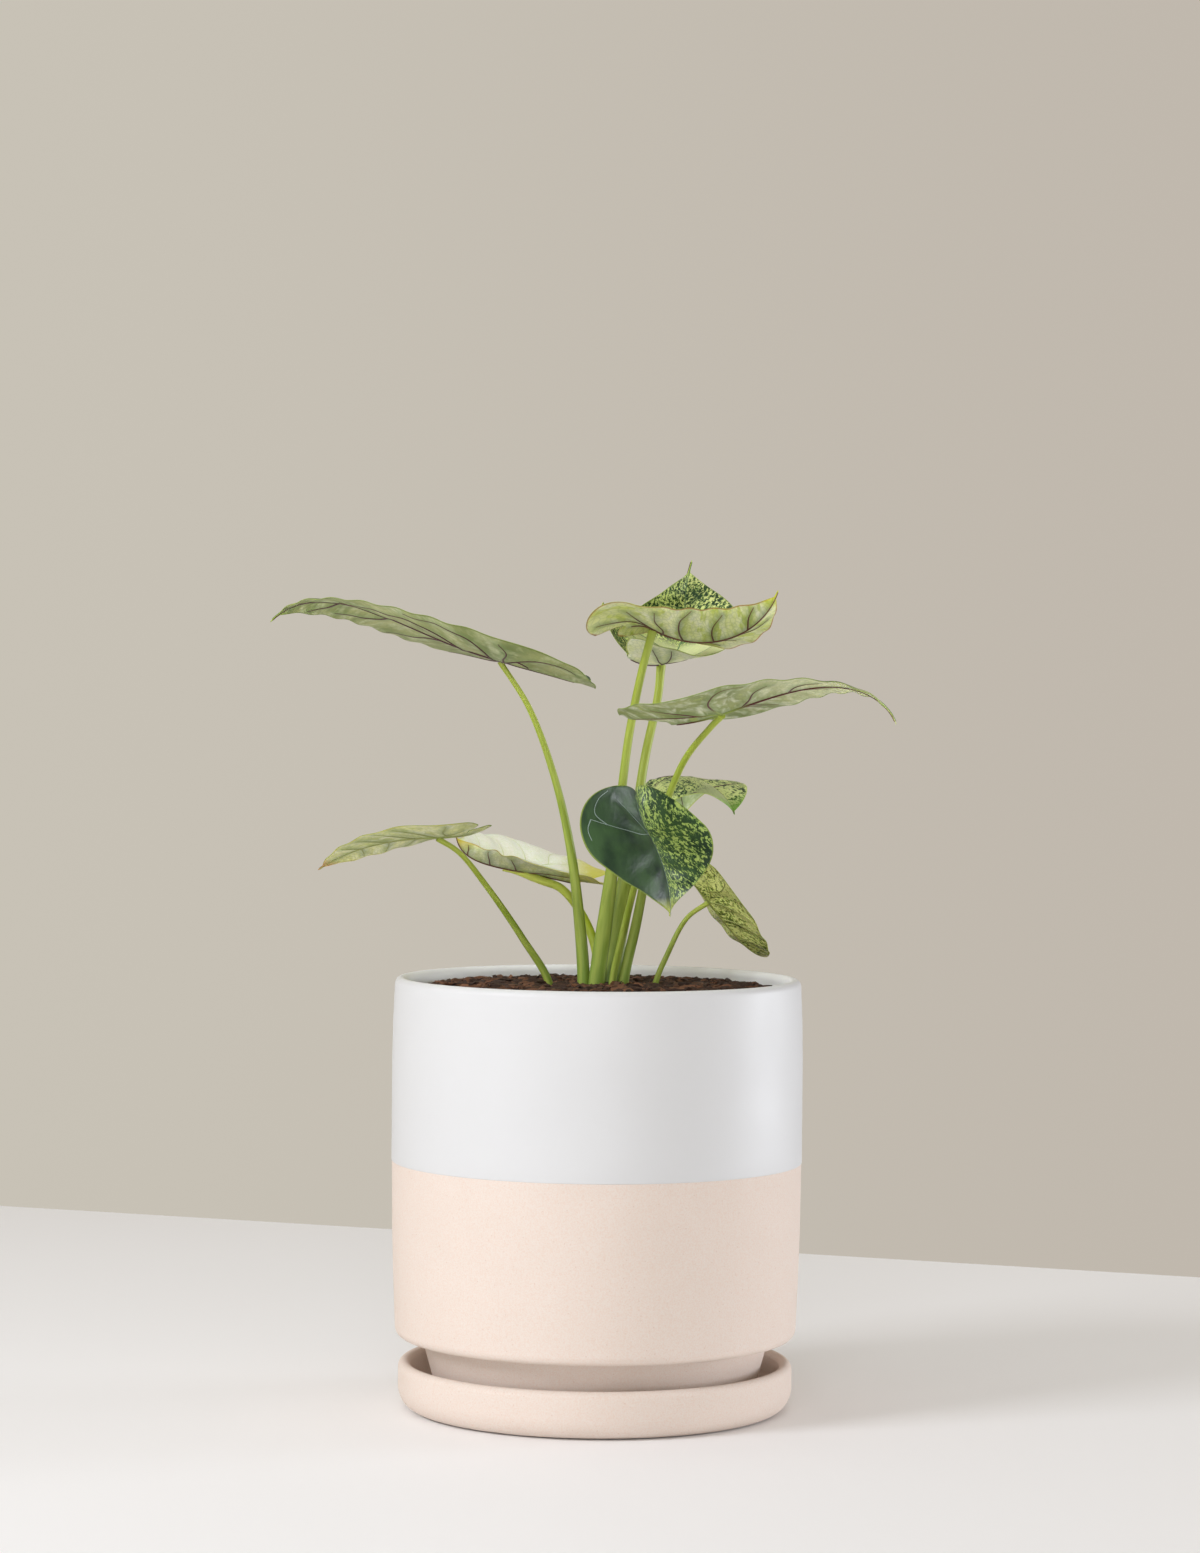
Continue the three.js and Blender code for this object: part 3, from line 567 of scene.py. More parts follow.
# Veins that show in some leaves, left half then right half: each runs from the midrib or the hub
# through these points (along, outward) to near the margin. The other halves have regular veins.
VEINS = {
    "a": ([[(0, 0), (-1, 8), (0, 17), (0, 26), (4, 32)],
           [(1, 0), (4, 11), (8, 20), (15, 27), (24, 29), (38, 26)],
           [(12, 0), (17, 12), (23, 18), (32, 22), (44, 19), (56, 15)],
           [(42, 0), (46, 7), (52, 12), (60, 13)], [(62, 0), (67, 5), (76, 6)],
           [(0, 0), (-2, 12), (-5, 20), (-11, 27), (-18, 29), (-26, 26)],
           [(0, 0), (-7, 7), (-16, 11), (-27, 16)], [(-5, 20), (-9, 16), (-10, 9)]],
          [[(0, 0), (2, 14), (8, 25), (18, 30)], [(21, 0), (27, 5), (34, 16), (44, 22)],
           [(43, 0), (47, 6), (55, 11), (66, 10)], [(62, 0), (68, 5), (77, 6)],
           [(0, 0), (-8, 6), (-17, 11), (-27, 15)], [(-8, 6), (-10, 15), (-15, 24)]]),
    "b": ([[(0, 0), (4, 10), (10, 18), (18, 22)], [(14, 0), (19, 9), (27, 14)], [(32, 0), (37, 6), (44, 7)],
           [(0, 0), (-6, 6), (-12, 11)]],
          [[(4, 0), (6, 7), (5, 15), (7, 24)], [(12, 0), (13, 7), (15, 14), (18, 19), (25, 22)],
           [(24, 0), (26, 6), (29, 10), (36, 13)], [(38, 0), (42, 4), (48, 6)],
           [(0, 0), (-5, 6), (-11, 11), (-15, 17)], [(-1, 0), (-3, 10), (-4, 20)]]),
    "c": (None, [[(0, 0), (-9, 8), (-14, 11), (-20, 15), (-27, 19)],
                 [(-9, 8), (-11, 12), (-19, 21), (-24, 25)],
                 [(0, 0), (4, 12), (12, 23)], [(14, 0), (19, 10), (28, 16)]]),
    "d": ([[(0, 0), (3, 12), (8, 22)], [(5, 0), (7, 10), (9, 19), (14, 24)], [(24, 0), (30, 8), (38, 11)],
           [(44, 0), (50, 4)], [(0, 0), (-6, 5), (-16, 9), (-27, 11)]],
          [[(0, 0), (0, 7), (1, 15), (4, 20), (9, 24), (18, 25)], [(8, 0), (13, 6), (18, 14), (24, 18)],
           [(26, 0), (31, 8), (40, 13)], [(46, 0), (52, 5)],
           [(0, 0), (-5, 5), (-14, 9), (-24, 11), (-31, 9)], [(-6, 5), (-11, 13), (-20, 20)]]),
    "f": (None, [[(0, 0), (1, 8), (-1, 16), (-4, 23), (-7, 29)], [(-4, 23), (-9, 27), (-14, 25), (-17, 21)],
                 [(-7, 29), (-4, 31), (0, 31)], [(0, 0), (-5, 6), (-10, 12), (-14, 17)],
                 [(0, 0), (4, 10), (4, 19), (3, 28)], [(7, 0), (12, 8), (15, 17)],
                 [(16, 0), (20, 6), (23, 9)]]),
    "e": (None, [[(16, 18), (19, 15), (21, 10), (24, 5), (27, 2)], [(0, 0), (-4, 5), (-9, 9)]]),
    "i": ([[(4, 0), (6, 8), (9, 16)], [(14, 0), (17, 6), (22, 11)], [(24, 0), (27, 3), (30, 4)],
           [(0, 0), (-6, 5), (-14, 8), (-22, 10)]], None),
}


def vein_paths(leaf, side):
    """The veins of one half as lists of (along, outward), each with its radius at the root."""
    front, back, half = leaf["front"], leaf["back"], leaf["half"]
    shown = VEINS.get(leaf["name"], (None, None))[0 if side > 0 else 1]
    if shown is None:
        t = np.linspace(0, 1, 24)
        basal = np.stack([
            -0.84 * back * t ** 1.15, LOBE_CENTRE * half * (1.25 * t ** 0.75 - 0.25 * t ** 3)], 1)
        branch = basal[8]
        shown = [basal[::6]]
        for root in (0.0, 0.17, 0.38, 0.6) if front > 45 else (0.0, 0.24, 0.52):
            shown.append([(front * (root + reach * (0.1 + 0.2 * reach)), half * reach)
                          for reach in (0, 0.3, 0.6, 0.95)])
        shown.append([branch, branch + [-0.02 * back, 0.3 * half], (-0.45 * back, 0.85 * half)])
    paths = []
    for points in shown:
        line = spline(points, 8)
        inside = line[:, 1] <= half_edges(leaf, line[:, 0])[1] - 1.4
        count = len(line) if inside.all() else max(4, int(np.argmin(inside)))
        paths.append((line[:count], 0.4 if points[0][0] < 20 else 0.32))
    return paths


def vein_distance(leaf, side, along, outward):
    """Distance from each point of a half to its nearest vein, the midrib counted, in the flat blade."""
    least = np.abs(outward) + np.where(along < -leaf["back"] * leaf["joined"], 5.0, 0.0)
    for line, _ in vein_paths(leaf, side):
        for (a0, o0), (a1, o1) in zip(line[:-2:2], line[2::2]):
            da, do = a1 - a0, o1 - o0
            t = np.clip(((along - a0) * da + (outward - o0) * do) / (da * da + do * do), 0, 1)
            least = np.minimum(least, np.hypot(along - a0 - t * da, outward - o0 - t * do))
    return least


def midline_points(leaf, along):
    """The midline's points at these stations, summed from the hub in small steps."""
    steps = np.arange(-leaf["back"], leaf["front"] + MIDLINE_STEP, MIDLINE_STEP)
    forward = midline(leaf, (steps[1:] + steps[:-1]) / 2)[0]
    line = np.vstack([np.zeros(3), np.cumsum(forward * MIDLINE_STEP, axis=0)])
    at_hub = [np.interp(0, steps, line[:, k]) for k in range(3)]
    found = np.stack([np.interp(along, steps, line[:, k]) for k in range(3)], -1)
    return found - at_hub + np.array(leaf["hub"])


def blade_points(leaf, side, along, outward):
    """The middle surface of one half in space: side is 1 for the left half, -1 for the right one."""
    outer = half_edges(leaf, along)[1]
    reach = np.where(outer > 0, outward / np.maximum(outer, 0.5), 0)
    _, across, up, share = midline(leaf, along)
    which = 0 if side > 0 else 1
    fold = np.radians(leaf["fold"][which] + leaf["fold_on"] * share)
    curl = math.radians(leaf["curl"][which] or 0.01) / leaf["half"]
    turn = fold + curl * outward
    sideways = (np.sin(turn) - np.sin(fold)) / curl
    lift = (np.cos(fold) - np.cos(turn)) / curl
    lean = 0.5 * np.tanh((along + 5) / 15)
    phase = 2 * math.pi * (along - lean * outward) / VEIN_SPACING
    ripple = 0.5 * leaf["wave"] * reach ** 2 * np.sin(phase + 1.2)
    ripple = ripple * np.clip((leaf["front"] - along) / 12, 0, 1)
    away = vein_distance(leaf, side, along, outward)
    pillow = PUFF * (1 - np.exp(-(away / PUFF_REACH) ** 2)) * (1 - reach ** 3)
    pillow = pillow * np.clip((leaf["front"] - along) / 20, 0, 1)
    flat = midline_points(leaf, along)
    return flat + across * (side * sideways)[..., None] + up * (lift + ripple + pillow)[..., None]


def stations(leaf):
    """Stations of the rows along a blade, closer together at the tip and at the ends of the lobes."""
    seam_end = -leaf["back"] * leaf["joined"]
    rear = np.linspace(0, 1, max(8, round((leaf["back"] + seam_end) / ROW_PITCH)), endpoint=False)
    seam = np.linspace(seam_end, 0, max(8, round(-seam_end / ROW_PITCH)), endpoint=False)
    ahead = np.linspace(0, 1, round(leaf["front"] / ROW_PITCH))
    ahead = np.sin(math.pi / 2 * (0.25 * ahead + 0.75 * ahead ** 0.9))
    return np.r_[-leaf["back"] + (leaf["back"] + seam_end) * rear ** 2, seam, leaf["front"] * ahead]


def blade_mesh(leaf):
    """The blade's points, faces, face kinds (0 above, 1 below) and the values its skins read: the flat
    place with the station along the veins, and the distances to the rim, to a vein and to the tip."""
    rows = stations(leaf)
    last = len(rows) - 1
    seam_end = -leaf["back"] * leaf["joined"]
    share = np.linspace(0, 1, COLUMNS + 1) ** 0.92
    points, places, numbers, grids = [], [], {}, {}
    for side in (1, -1):
        inner, outer = half_edges(leaf, rows)
        outward = inner[:, None] + (outer - inner)[:, None] * share[None, :]
        along = np.repeat(rows[:, None], COLUMNS + 1, 1)
        grids[side] = (blade_points(leaf, side, along, outward), along, outward, inner, outer)

    def corner(side, row, col):
        on_midline = row == last or (col == 0 and rows[row] >= seam_end - 1e-6)
        col = 0 if row in (0, last) else col
        key = (0, row) if on_midline else (side, row, col)
        if key not in numbers:
            numbers[key] = len(points)
            grid, along, outward, inner, outer = grids[side]
            points.append(grid[row, col])
            edge = outer[row] - outward[row, col]
            if rows[row] < seam_end:
                edge = min(edge, outward[row, col] - inner[row])
            edge = min(edge, leaf["front"] - rows[row], (rows[row] + leaf["back"]) * 1.5)
            places.append((rows[row], side * outward[row, col], edge))
        return numbers[key]

    faces = []
    for side in (1, -1):
        for row in range(last):
            for col in range(COLUMNS):
                ring = [corner(side, row, col), corner(side, row + 1, col),
                        corner(side, row + 1, col + 1), corner(side, row, col + 1)]
                ring = list(dict.fromkeys(ring))
                if len(ring) > 2:
                    faces.append(tuple(ring if side > 0 else reversed(ring)))
    points, places = np.array(points), np.array(places)
    normals = np.zeros_like(points)
    for face in faces:
        ring = points[list(face)]
        area = np.cross(ring[1] - ring[0], ring[2] - ring[0])
        if len(face) == 4:
            area = area + np.cross(ring[2] - ring[0], ring[3] - ring[0])
        normals[list(face)] += area
    normals /= np.maximum(np.linalg.norm(normals, axis=1), 1e-9)[:, None]
    half = BLADE / 2 * (0.35 + 0.65 * np.clip(places[:, 2] / THIN_RIM, 0, 1))
    count = len(points)
    edges = {(a, b) for face in faces for a, b in zip(face, face[1:] + face[:1])}
    rim = [(a, count + a, count + b, b) for a, b in edges if (b, a) not in edges]
    solid = np.vstack([points + normals * half[:, None], points - normals * half[:, None]])
    below = [tuple(count + v for v in reversed(face)) for face in faces]
    kinds = [0] * len(faces) + [1] * len(below) + [0] * len(rim)
    away = np.zeros(count)
    for side in (1, -1):
        mine = places[:, 1] * side >= 0
        away[mine] = vein_distance(leaf, side, places[mine, 0], np.abs(places[mine, 1]))
    lean = 0.8 * np.tanh((places[:, 0] + 5) / 45)
    along_vein = places[:, 0] - lean * np.abs(places[:, 1])
    leaf_place = np.stack([places[:, 0], places[:, 1], along_vein], 1)
    leaf_edge = np.stack([places[:, 2], away, leaf["front"] - places[:, 0]], 1)
    values = dict(leaf_place=np.vstack([leaf_place] * 2), leaf_edge=np.vstack([leaf_edge] * 2))
    return solid, faces + below + rim, kinds, values


# Leaf skin: a waxy cuticle over living tissue. Above, dark green is flecked with lime where the
# tissue lacks pigment, torn flecks drawn out along the side veins. The yellow rim is thin tissue.
FLECK_MM = 0.95
SECTOR_MM = 12.0
CLOUD_MM = 7.0
PEBBLE_MM = 2.2
TEAR_MM = 9.0


def leaf_values(tree):
    """What a leaf's skins read from its mesh: its flat place, and the parts of that and of its edges."""
    place = put(tree, "Attribute", {}, "Vector", attribute_name="leaf_place")
    edges = put(tree, "Attribute", {}, "Vector", attribute_name="leaf_edge")
    at = put(tree, "SeparateXYZ", {"Vector": place}).node.outputs
    edge = put(tree, "SeparateXYZ", {"Vector": edges}).node.outputs
    return place, at, edge


def pale_sector(tree, below, torn_by, at, colour, start, full, half=0, centre=None):
    """Lays a pale sector over the colour below: it starts and is full at these stations, or at these
    distances from the centre's station, with a torn edge, and lies on one half or on both."""
    station = at["X"]
    if centre is not None:
        station = put(tree, "Math", {0: station, 1: centre}, operation="SUBTRACT")
        station = put(tree, "Math", {0: station}, operation="ABSOLUTE")
    torn = put(tree, "Math", {0: torn_by, 1: TEAR_MM, 2: station}, operation="MULTIPLY_ADD")
    share = put(tree, "MapRange", {
        "Value": torn, "From Min": start + TEAR_MM / 2, "From Max": full + TEAR_MM / 2, "To Max": 0.92})
    if half:
        on_half = put(tree, "MapRange", {
            "Value": at["Y"], "From Min": -0.5 * half, "From Max": 0.5 * half})
        share = put(tree, "Math", {0: share, 1: on_half}, operation="MULTIPLY")
    return laid_over(tree, below, colour, share)


def upper_skin(name, ground, middle, fleck, left, right, rim="8FA048", tip="A9B24C", seed=0.0, pale=None):
    """The skin above. left and right say how much of each half is flecked, from 0 to 1, and pale is
    what pale_sector takes, from the colour on, for a sector without pigment."""
    skin, tree, shader = surface(name, 0.5, 1.45, 0.1, (0.5, 1.0, 0.2), 0.8)
    _, at, edge = leaf_values(tree)
    outward = put(tree, "Math", {0: at["Y"]}, operation="ABSOLUTE")
    drawn = put(tree, "Math", {0: outward, 1: 0.75}, operation="MULTIPLY")
    on_left = put(tree, "Math", {0: at["Y"], 1: 0.0}, operation="GREATER_THAN")
    layer = put(tree, "Math", {0: on_left, 1: 40.0, 2: seed}, operation="MULTIPLY_ADD")
    spot = put(tree, "CombineXYZ", {"X": at["Z"], "Y": drawn, "Z": layer})
    splash = put(tree, "TexNoise", {
        "Vector": spot, "Scale": 1 / FLECK_MM, "Detail": 4.0, "Roughness": 0.68, "Distortion": 0.6})
    sector = put(tree, "TexNoise", {"Vector": spot, "Scale": 1 / SECTOR_MM, "Detail": 1.0})
    level = put(tree, "Math", {0: sector, 1: 0.35, 2: splash}, operation="MULTIPLY_ADD")
    wanted = put(tree, "MapRange", {
        "Value": on_left, "To Min": 0.89 - 0.4 * right, "To Max": 0.89 - 0.4 * left})
    shown = put(tree, "Math", {0: level, 1: wanted}, operation="SUBTRACT")
    cloud = put(tree, "TexNoise", {"Vector": spot, "Scale": 1 / CLOUD_MM, "Detail": 3.0})
    pebble = put(tree, "TexNoise", {"Vector": spot, "Scale": 1 / PEBBLE_MM, "Detail": 2.0})
    colour = laid_over(tree, *ground, cloud, 0.32, 0.68)
    colour = laid_over(tree, colour, middle, shown, -0.035, -0.01)
    colour = laid_over(tree, colour, fleck, shown, 0.012, 0.035)
    if pale:
        colour = pale_sector(tree, colour, splash, at, *pale)
    colour = laid_over(tree, colour, rim, edge["X"], 0.65, 0.2, 0.8)
    colour = laid_over(tree, colour, tip, edge["Z"], 7.0, 2.0)
    clothed(tree, shader, colour, pebble, 0.6, 0.45)
    gloss = put(tree, "MapRange", {
        "Value": cloud, "From Min": 0.3, "From Max": 0.7, "To Min": 0.42, "To Max": 0.58})
    tree.links.new(gloss, shader.inputs["Roughness"])
    shader.inputs["Specular IOR Level"].default_value = 0.35
    return skin


# Beneath, the skin is matt and paler: sage green with a whitish bloom in streaks between the veins,
# a net of fine veinlets, and lime patches where the flecks show through. Near the veins it is painted
# darker green, painted shade beside the raised ribs.
BLOOM_MM = 3.2
BLOTCH_MM = 4.5
NET_MM = 2.6
CUSHION_MM = 3.2


def lower_skin(name, ground, bloom, patch, patched, rim="A9B24C", tip="A9B24C", seed=0.0, pale=None,
               glow=0.4):
    """The skin beneath. patched is the share covered by patches, from 0 to 1, pale is as above, and
    glow is how much light comes through the blade."""
    skin, tree, shader = surface(name, 0.55, 1.4, glow, (1.0, 1.0, 0.45), 0.9)
    place, at, edge = leaf_values(tree)
    drawn = put(tree, "Math", {0: at["Y"], 1: 0.42}, operation="MULTIPLY")
    spot = put(tree, "CombineXYZ", {"X": at["Z"], "Y": drawn, "Z": seed})
    cloud = put(tree, "TexNoise", {"Vector": spot, "Scale": 1 / CLOUD_MM, "Detail": 2.0})
    streak = put(tree, "TexNoise", {
        "Vector": spot, "Scale": 1 / BLOOM_MM, "Detail": 2.0, "Roughness": 0.6, "Distortion": 0.4})
    blotch = put(tree, "TexNoise", {
        "Vector": spot, "Scale": 1 / BLOTCH_MM, "Detail": 2.5, "Roughness": 0.65, "W": seed},
        noise_dimensions="4D")
    net = put(tree, "TexVoronoi", {
        "Vector": place, "Scale": 1 / NET_MM}, feature="DISTANCE_TO_EDGE")
    cushion = put(tree, "TexNoise", {"Vector": place, "Scale": 1 / CUSHION_MM, "Detail": 1.0})
    colour = laid_over(tree, *ground, cloud, 0.3, 0.7)
    colour = laid_over(tree, colour, bloom, streak, 0.45, 0.72, 0.75)
    colour = laid_over(tree, colour, patch, blotch, 0.72 - 0.4 * patched, 0.8 - 0.4 * patched, 0.8)
    if pale:
        colour = pale_sector(tree, colour, streak, at, *pale)
    colour = laid_over(tree, colour, "6F8A52", net, 0.16, 0.0, 0.24)
    # Painted shade: darker green laid within three millimetres of each vein, beside the raised ribs.
    colour = laid_over(tree, colour, "768E55", edge["Y"], 3.0, 0.3, 0.55)
    colour = laid_over(tree, colour, rim, edge["X"], 0.9, 0.25, 0.9)
    colour = laid_over(tree, colour, tip, edge["Z"], 8.0, 2.0)
    clothed(tree, shader, colour, cushion, 0.5, 0.4)
    return skin


DARK = ("1B3020", "3B5732")
SAGE = ("D0D293", "A9B272")
mottled = dict(ground=DARK, middle="587A3C", fleck="B2C66C")
skins = {
    "a": (upper_skin("dark waxy leaf top a", DARK, "3F6238", "9DB564", 0.15, 0.2, tip="9DB53A", seed=3,
                     pale=("A3B060", 62, 76)),
          lower_skin("sage leaf underside a", ("B0B276", "778448"), "CDD2A6", "93A352", 0.15,
                     rim="6F7E3C", tip="9DB53A", seed=5, glow=0.15)),
    "b": (upper_skin("mottled leaf top b", left=0.5, right=0.45, seed=11, **mottled),
          lower_skin("lime leaf underside b", ("FAFBD0", "D8E07C"), "FAFAE4", "CFD964", 0.45,
                     rim="A0603A", tip="CFD63A", seed=13, glow=0.65)),
    "c": (upper_skin("mottled leaf top c", ("1D3422", "33502E"), "8FA85C", "DEE694", 0.58, 0.54,
                     tip="B4C84A", seed=17, pale=("DDE2A8", 11, 7, 0, 4.0)),
          lower_skin("pale leaf underside c", ("FAFAD8", "E6EAB0"), "FCFCF0", "DCE48C", 0.3, seed=19,
                     glow=0.65)),
    "d": (upper_skin("dark waxy leaf top d", DARK, "3F6238", "9DB564", 0.3, 0.15, tip="C9D478", seed=23,
                     pale=("BFC98A", 44, 56)),
          lower_skin("sage leaf underside d", ("A3A96E", "7E8952"), "F0F1DA", "B4BF6E", 0.3,
                     rim="7E8F52", tip="C9D478", seed=29, pale=("E6E9BC", 10, 42), glow=0.3)),
    "e": (upper_skin("mottled leaf top e", DARK, "8FA860", "CBD68C", 0.64, 0.64, rim="B4C66A", tip="6F9A3A",
                     seed=31, pale=("A1AC78", 13, 17, -1)),
          lower_skin("pale leaf underside e", ("CFD9A4", "B0C284"), "E8ECD2", "C2D08C", 0.2, tip="8FA83C",
                     seed=37)),
    "f": (upper_skin("half dark half mottled leaf top f", left=0.47, right=-0.5, seed=41, **mottled),
          lower_skin("sage leaf underside f", SAGE, "E2E6C8", "B6C27A", 0.3, seed=43)),
    "g": (upper_skin("mottled leaf top g", left=0.6, right=0.6, tip="9A6A35", seed=47, **mottled),
          upper_skin("mottled leaf underside g", ("34451C", "6E7E38"), "B6C25C", "E2E78E", 0.66, 0.64,
                     rim="B8B04C", tip="9A6A35", seed=53)),
    "h": (upper_skin("dark waxy leaf top h", DARK, "3F6238", "9DB564", 0.3, 0.3, tip="A8703A", seed=59),
          lower_skin("sage leaf underside h", ("EAEAAC", "BEC47E"), "F6F6E0", "C9CF7C", 0.3,
                     rim="C2B860", tip="B8743A", seed=61, pale=("DCD98C", 30, 50), glow=0.3)),
    "i": (upper_skin("cream young leaf top i", ("F2F3E0", "F6F7EA"), "E9EDCF", "F9FAEF", 0.4, 0.4,
                     rim="D9D95A", tip="C9C95A", seed=67, pale=("D6CF4C", -12, -24)),
          lower_skin("pale young leaf underside i", ("E4E7BC", "C6CF84"), "F6F7E4", "DCE088", 0.25,
                     rim="8E5A3A", tip="C9B84A", seed=71, pale=("D6CF4C", -10, -22), glow=0.5)),
}

for name, leaf in LEAVES.items():
    points, faces, kinds, values = blade_mesh(leaf)
    blade = piece("leaf_" + name, points, faces, list(skins[name]), kinds, 60)
    with_values(blade, **values)
    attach(blade, "root")
    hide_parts("blade_" + name)

# The ribs: under each blade the midrib and the side veins stand out as round cords of the same
# tissue, purple brown on most leaves, and thin out towards the margin. Above they are slight ridges.

# Vein cuticle: the same waxy skin, stained purple brown by its pigment. It is green where it leaves
# the stalk and fades into the blade towards the margin.


def vein_skin(name, hub, main, end, reach):
    """The skin of a leaf's ribs: hub is its colour up to reach millimetres from the stalk."""
    skin, tree, shader = surface(name, 0.5, 1.42)
    place = put(tree, "Attribute", {}, "Vector", attribute_name="rib_place")
    at = put(tree, "SeparateXYZ", {"Vector": place}).node.outputs
    colour = laid_over(tree, hub, main, at["Y"], 0.5 * reach, 1.3 * reach)
    colour = laid_over(tree, colour, end, at["X"], 0.55, 1.05)
    tree.links.new(colour, shader.inputs["Base Color"])
    return skin


purple = vein_skin("purple brown leaf rib", "43202A", "50282F", "6E5A48", 1.0)
part_green = vein_skin("part green leaf rib", "8C9A50", "5C302E", "8A7E58", 9.0)
brown = vein_skin("brown leaf rib", "76503A", "6A4232", "8E7E50", 2.0)
olive = vein_skin("olive leaf rib", "98A254", "929850", "A4A960", 6.0)
silver = vein_skin("silvery leaf vein", "5E7262", "7F9288", "A9BAB2", 6.0)
pale = vein_skin("pale leaf vein", "7C9866", "6A8A58", "5C7E4C", 1.0)
cream = vein_skin("cream leaf vein", "D9DFB4", "D9DFB4", "E6EACC", 1.0)
RIB_SKINS = dict(
    a=purple, b=brown, c=purple, d=part_green, e=purple, f=olive, g=olive, h=olive, i=brown)
VEIN_SKINS = dict(e=purple, f=silver, i=cream)

RIB_SIDES = 8
MIDRIB_STEPS = 110
NEARBY = 0.4


def along_surface(leaf, side, line, offset):
    """Points offset from a blade's middle surface along its normal on a flat line of one half."""
    along, outward = line[:, 0], line[:, 1]
    here = blade_points(leaf, side, along, outward)
    ahead = blade_points(leaf, side, along + NEARBY, outward)
    wider = blade_points(leaf, side, along, outward + NEARBY)
    normal = np.cross(ahead - here, wider - here) * side
    normal /= np.linalg.norm(normal, axis=1)[:, None]
    return here + normal * offset, normal


for name, leaf in LEAVES.items():
    front, seam_end = leaf["front"], -leaf["back"] * leaf["joined"]
    along = np.linspace(seam_end * 0.9, front * 0.985, MIDRIB_STEPS)
    midrib = np.stack([along, 0 * along], 1)
    size = 0.7 + 0.6 * front / 90
    taper = np.clip(1 - np.abs(along) / np.where(along > 0, front, -seam_end * 1.3), 0, 1)
    fade = np.clip(np.abs(along) / front - 0.2, 0, 1)
    ribs = [(1, 0, midrib, (0.2 + 0.42 * taper ** 0.8) * size, fade)]
    for side in (1, -1):
        for rank, (line, root_radius) in enumerate(vein_paths(leaf, side)):
            t = np.linspace(0, 1, len(line))
            radius = (root_radius + (VEIN_END_RADIUS - root_radius) * t ** 0.8) * size
            ribs.append((side, rank, line, radius, t))
    for title, offset, wide, flat, skin in (
            ("ribs_", -BLADE / 2, 1.0, 0.75, RIB_SKINS[name]),
            ("veins_", BLADE / 2 + 0.06, 0.6, 0.3, VEIN_SKINS.get(name, pale))):
        points, faces, places = [], [], []
        for side, rank, line, radius, t in ribs:
            # The heart-shaped leaf shows its midrib and four veins of its dark half, and no others.
            if name == "f" and title == "veins_" and (rank > 3 or side > 0 and line is not midrib):
                continue
            route, normal = along_surface(leaf, side, line, offset)
            first_side = np.cross(route[1] - route[0], normal[0])
            made, rib_faces, _ = tube(
                route, np.stack([radius * wide, radius * flat], 1), RIB_SIDES, first_side)
            faces += [tuple(v + len(points) for v in face) for face in rib_faces]
            points += made.tolist()
            from_hub = np.hypot(line[:, 0], line[:, 1])
            places.append(np.repeat(np.stack([t, from_hub, 0 * t], 1), RIB_SIDES, axis=0))
        rib = piece(title + name, points, faces, [skin])
        with_values(rib, rib_place=np.vstack(places))
        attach(rib, "root")

# The studio: the pot stands on a plain pale table whose far edge runs slightly askew, before a plain
# warm grey wall. The light is a soft lamp high at the left, two in front, one low and one high, a wide
# one low at the right and a very large one above.

CAMERA_PLACE = (0.0, -1450.0, 258.3)
CAMERA_DOWN = 1.088
CAMERA_ROLL = 0.51
LENS = 92.03
FAR_EDGE = (444.0, -0.373)
TABLE_HALF = 5000.0
TABLE_FRONT = -6000.0

# Matt paint on a smooth board: plain and nearly white, with a hardly visible change of tone.
paint, tree, shader = surface("matt pale table", 0.6)
place = put(tree, "TexCoord", {}, "Object")
soft = put(tree, "TexNoise", {"Vector": place, "Scale": 4.0, "Detail": 1.0})
tree.links.new(laid_over(tree, "F4F3F3", "F2F1F1", soft), shader.inputs["Base Color"])

edge_left, edge_right = [FAR_EDGE[0] + FAR_EDGE[1] * x for x in (-TABLE_HALF, TABLE_HALF)]
table = piece("table_top", [
    [-TABLE_HALF, TABLE_FRONT, 0], [TABLE_HALF, TABLE_FRONT, 0],
    [TABLE_HALF, edge_right, 0], [-TABLE_HALF, edge_left, 0]], [(0, 1, 2, 3)], [paint])
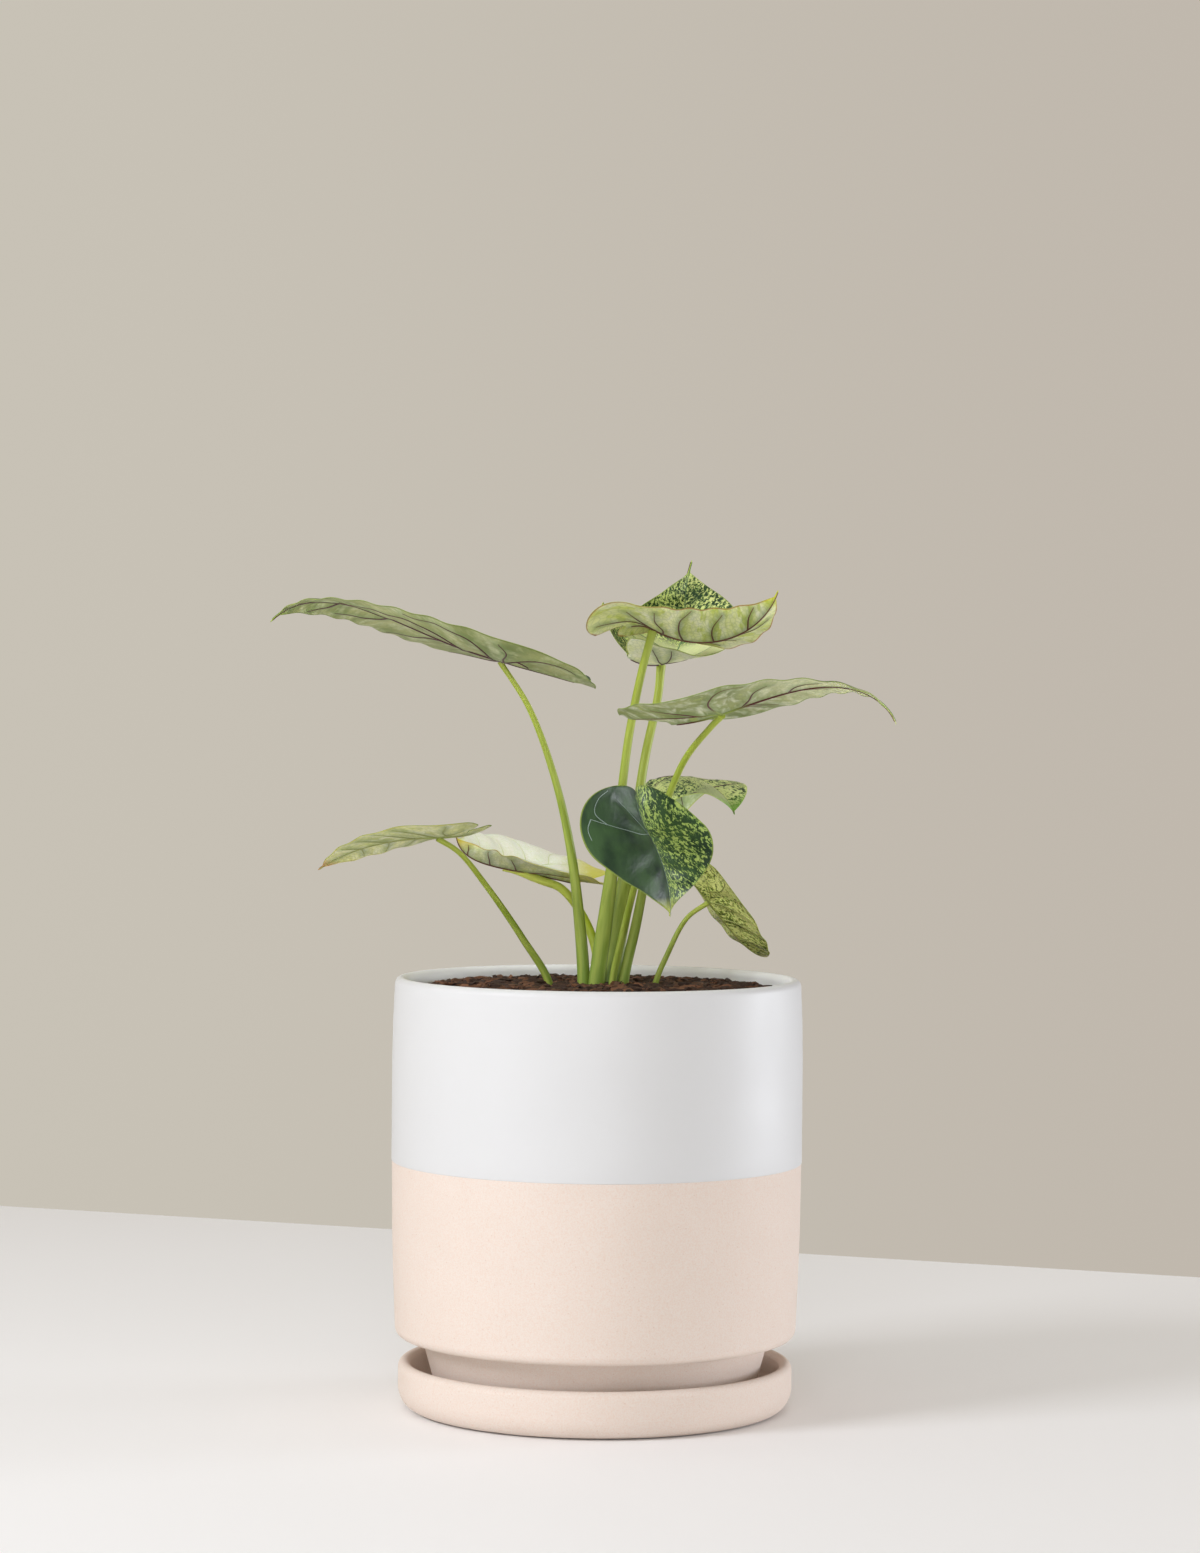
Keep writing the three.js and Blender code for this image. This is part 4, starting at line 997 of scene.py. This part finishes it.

# The wall is painted a shade darker at the right, painted shade as the light falls off there, and
# much darker past the edge of the photo, which takes fill light away from the right.
world = bpy.data.worlds.new("warm grey wall")
bpy.context.scene.world = world
world.use_nodes = True
tree = world.node_tree
ray = put(tree, "TexCoord", {}, "Generated")
sideways = put(tree, "SeparateXYZ", {"Vector": ray}, "X")
wall = laid_over(tree, "C8C2B6", "C0B8AD", sideways, -0.18, 0.18, interpolation_type="SMOOTHSTEP")
wall = laid_over(tree, wall, "8A857D", sideways, 0.22, 0.6, interpolation_type="SMOOTHSTEP")
tree.links.new(wall, tree.nodes["Background"].inputs["Color"])

# Each lamp's place and the point that it faces, its width and height in millimetres, and its watts.
LAMP_COLOUR = (0.86, 0.89, 0.96)
for name, place, target, wide, tall, watts in (
        ("key_lamp", (-1170, -760, 870), (0, 0, 80), 500, 500, 13.7),
        ("low_lamp", (200, -2150, 150), (0, 0, 120), 280, 280, 6.2),
        ("front_lamp", (-150, -1950, 900), (0, 0, 150), 700, 700, 7.2),
        ("right_lamp", (1640, 380, 215), (0, 0, 120), 540, 400, 17.0),
        ("top_lamp", (-200, -300, 1900), (0, 0, 200), 1200, 1200, 4.3)):
    light = bpy.data.lights.new(name, "AREA")
    light.shape = "RECTANGLE"
    light.size = wide * MM
    light.size_y = tall * MM
    light.energy = watts
    light.color = LAMP_COLOUR
    made = bpy.data.objects.new(name, light)
    bpy.context.scene.collection.objects.link(made)
    towards = np.array(target, float) - np.array(place, float)
    made.location = np.array(place) * MM
    made.rotation_euler = (
        math.atan2(math.hypot(towards[0], towards[1]), -towards[2]),
        0.0,
        math.atan2(-towards[0], towards[1]),
    )

camera_data = bpy.data.cameras.new("camera")
camera_data.sensor_width = 36.0
camera_data.lens = LENS
camera_data.clip_end = 50.0
camera = bpy.data.objects.new("camera", camera_data)
bpy.context.scene.collection.objects.link(camera)
pitch, roll = math.radians(90 - CAMERA_DOWN), math.radians(CAMERA_ROLL)
camera.location = np.array(CAMERA_PLACE) * MM
camera.rotation_mode = "QUATERNION"
camera.rotation_quaternion = (
    math.cos(pitch / 2) * math.cos(roll / 2), math.sin(pitch / 2) * math.cos(roll / 2),
    -math.sin(pitch / 2) * math.sin(roll / 2), math.cos(pitch / 2) * math.sin(roll / 2))
bpy.context.scene.camera = camera
bpy.context.scene.view_settings.view_transform = "Standard"
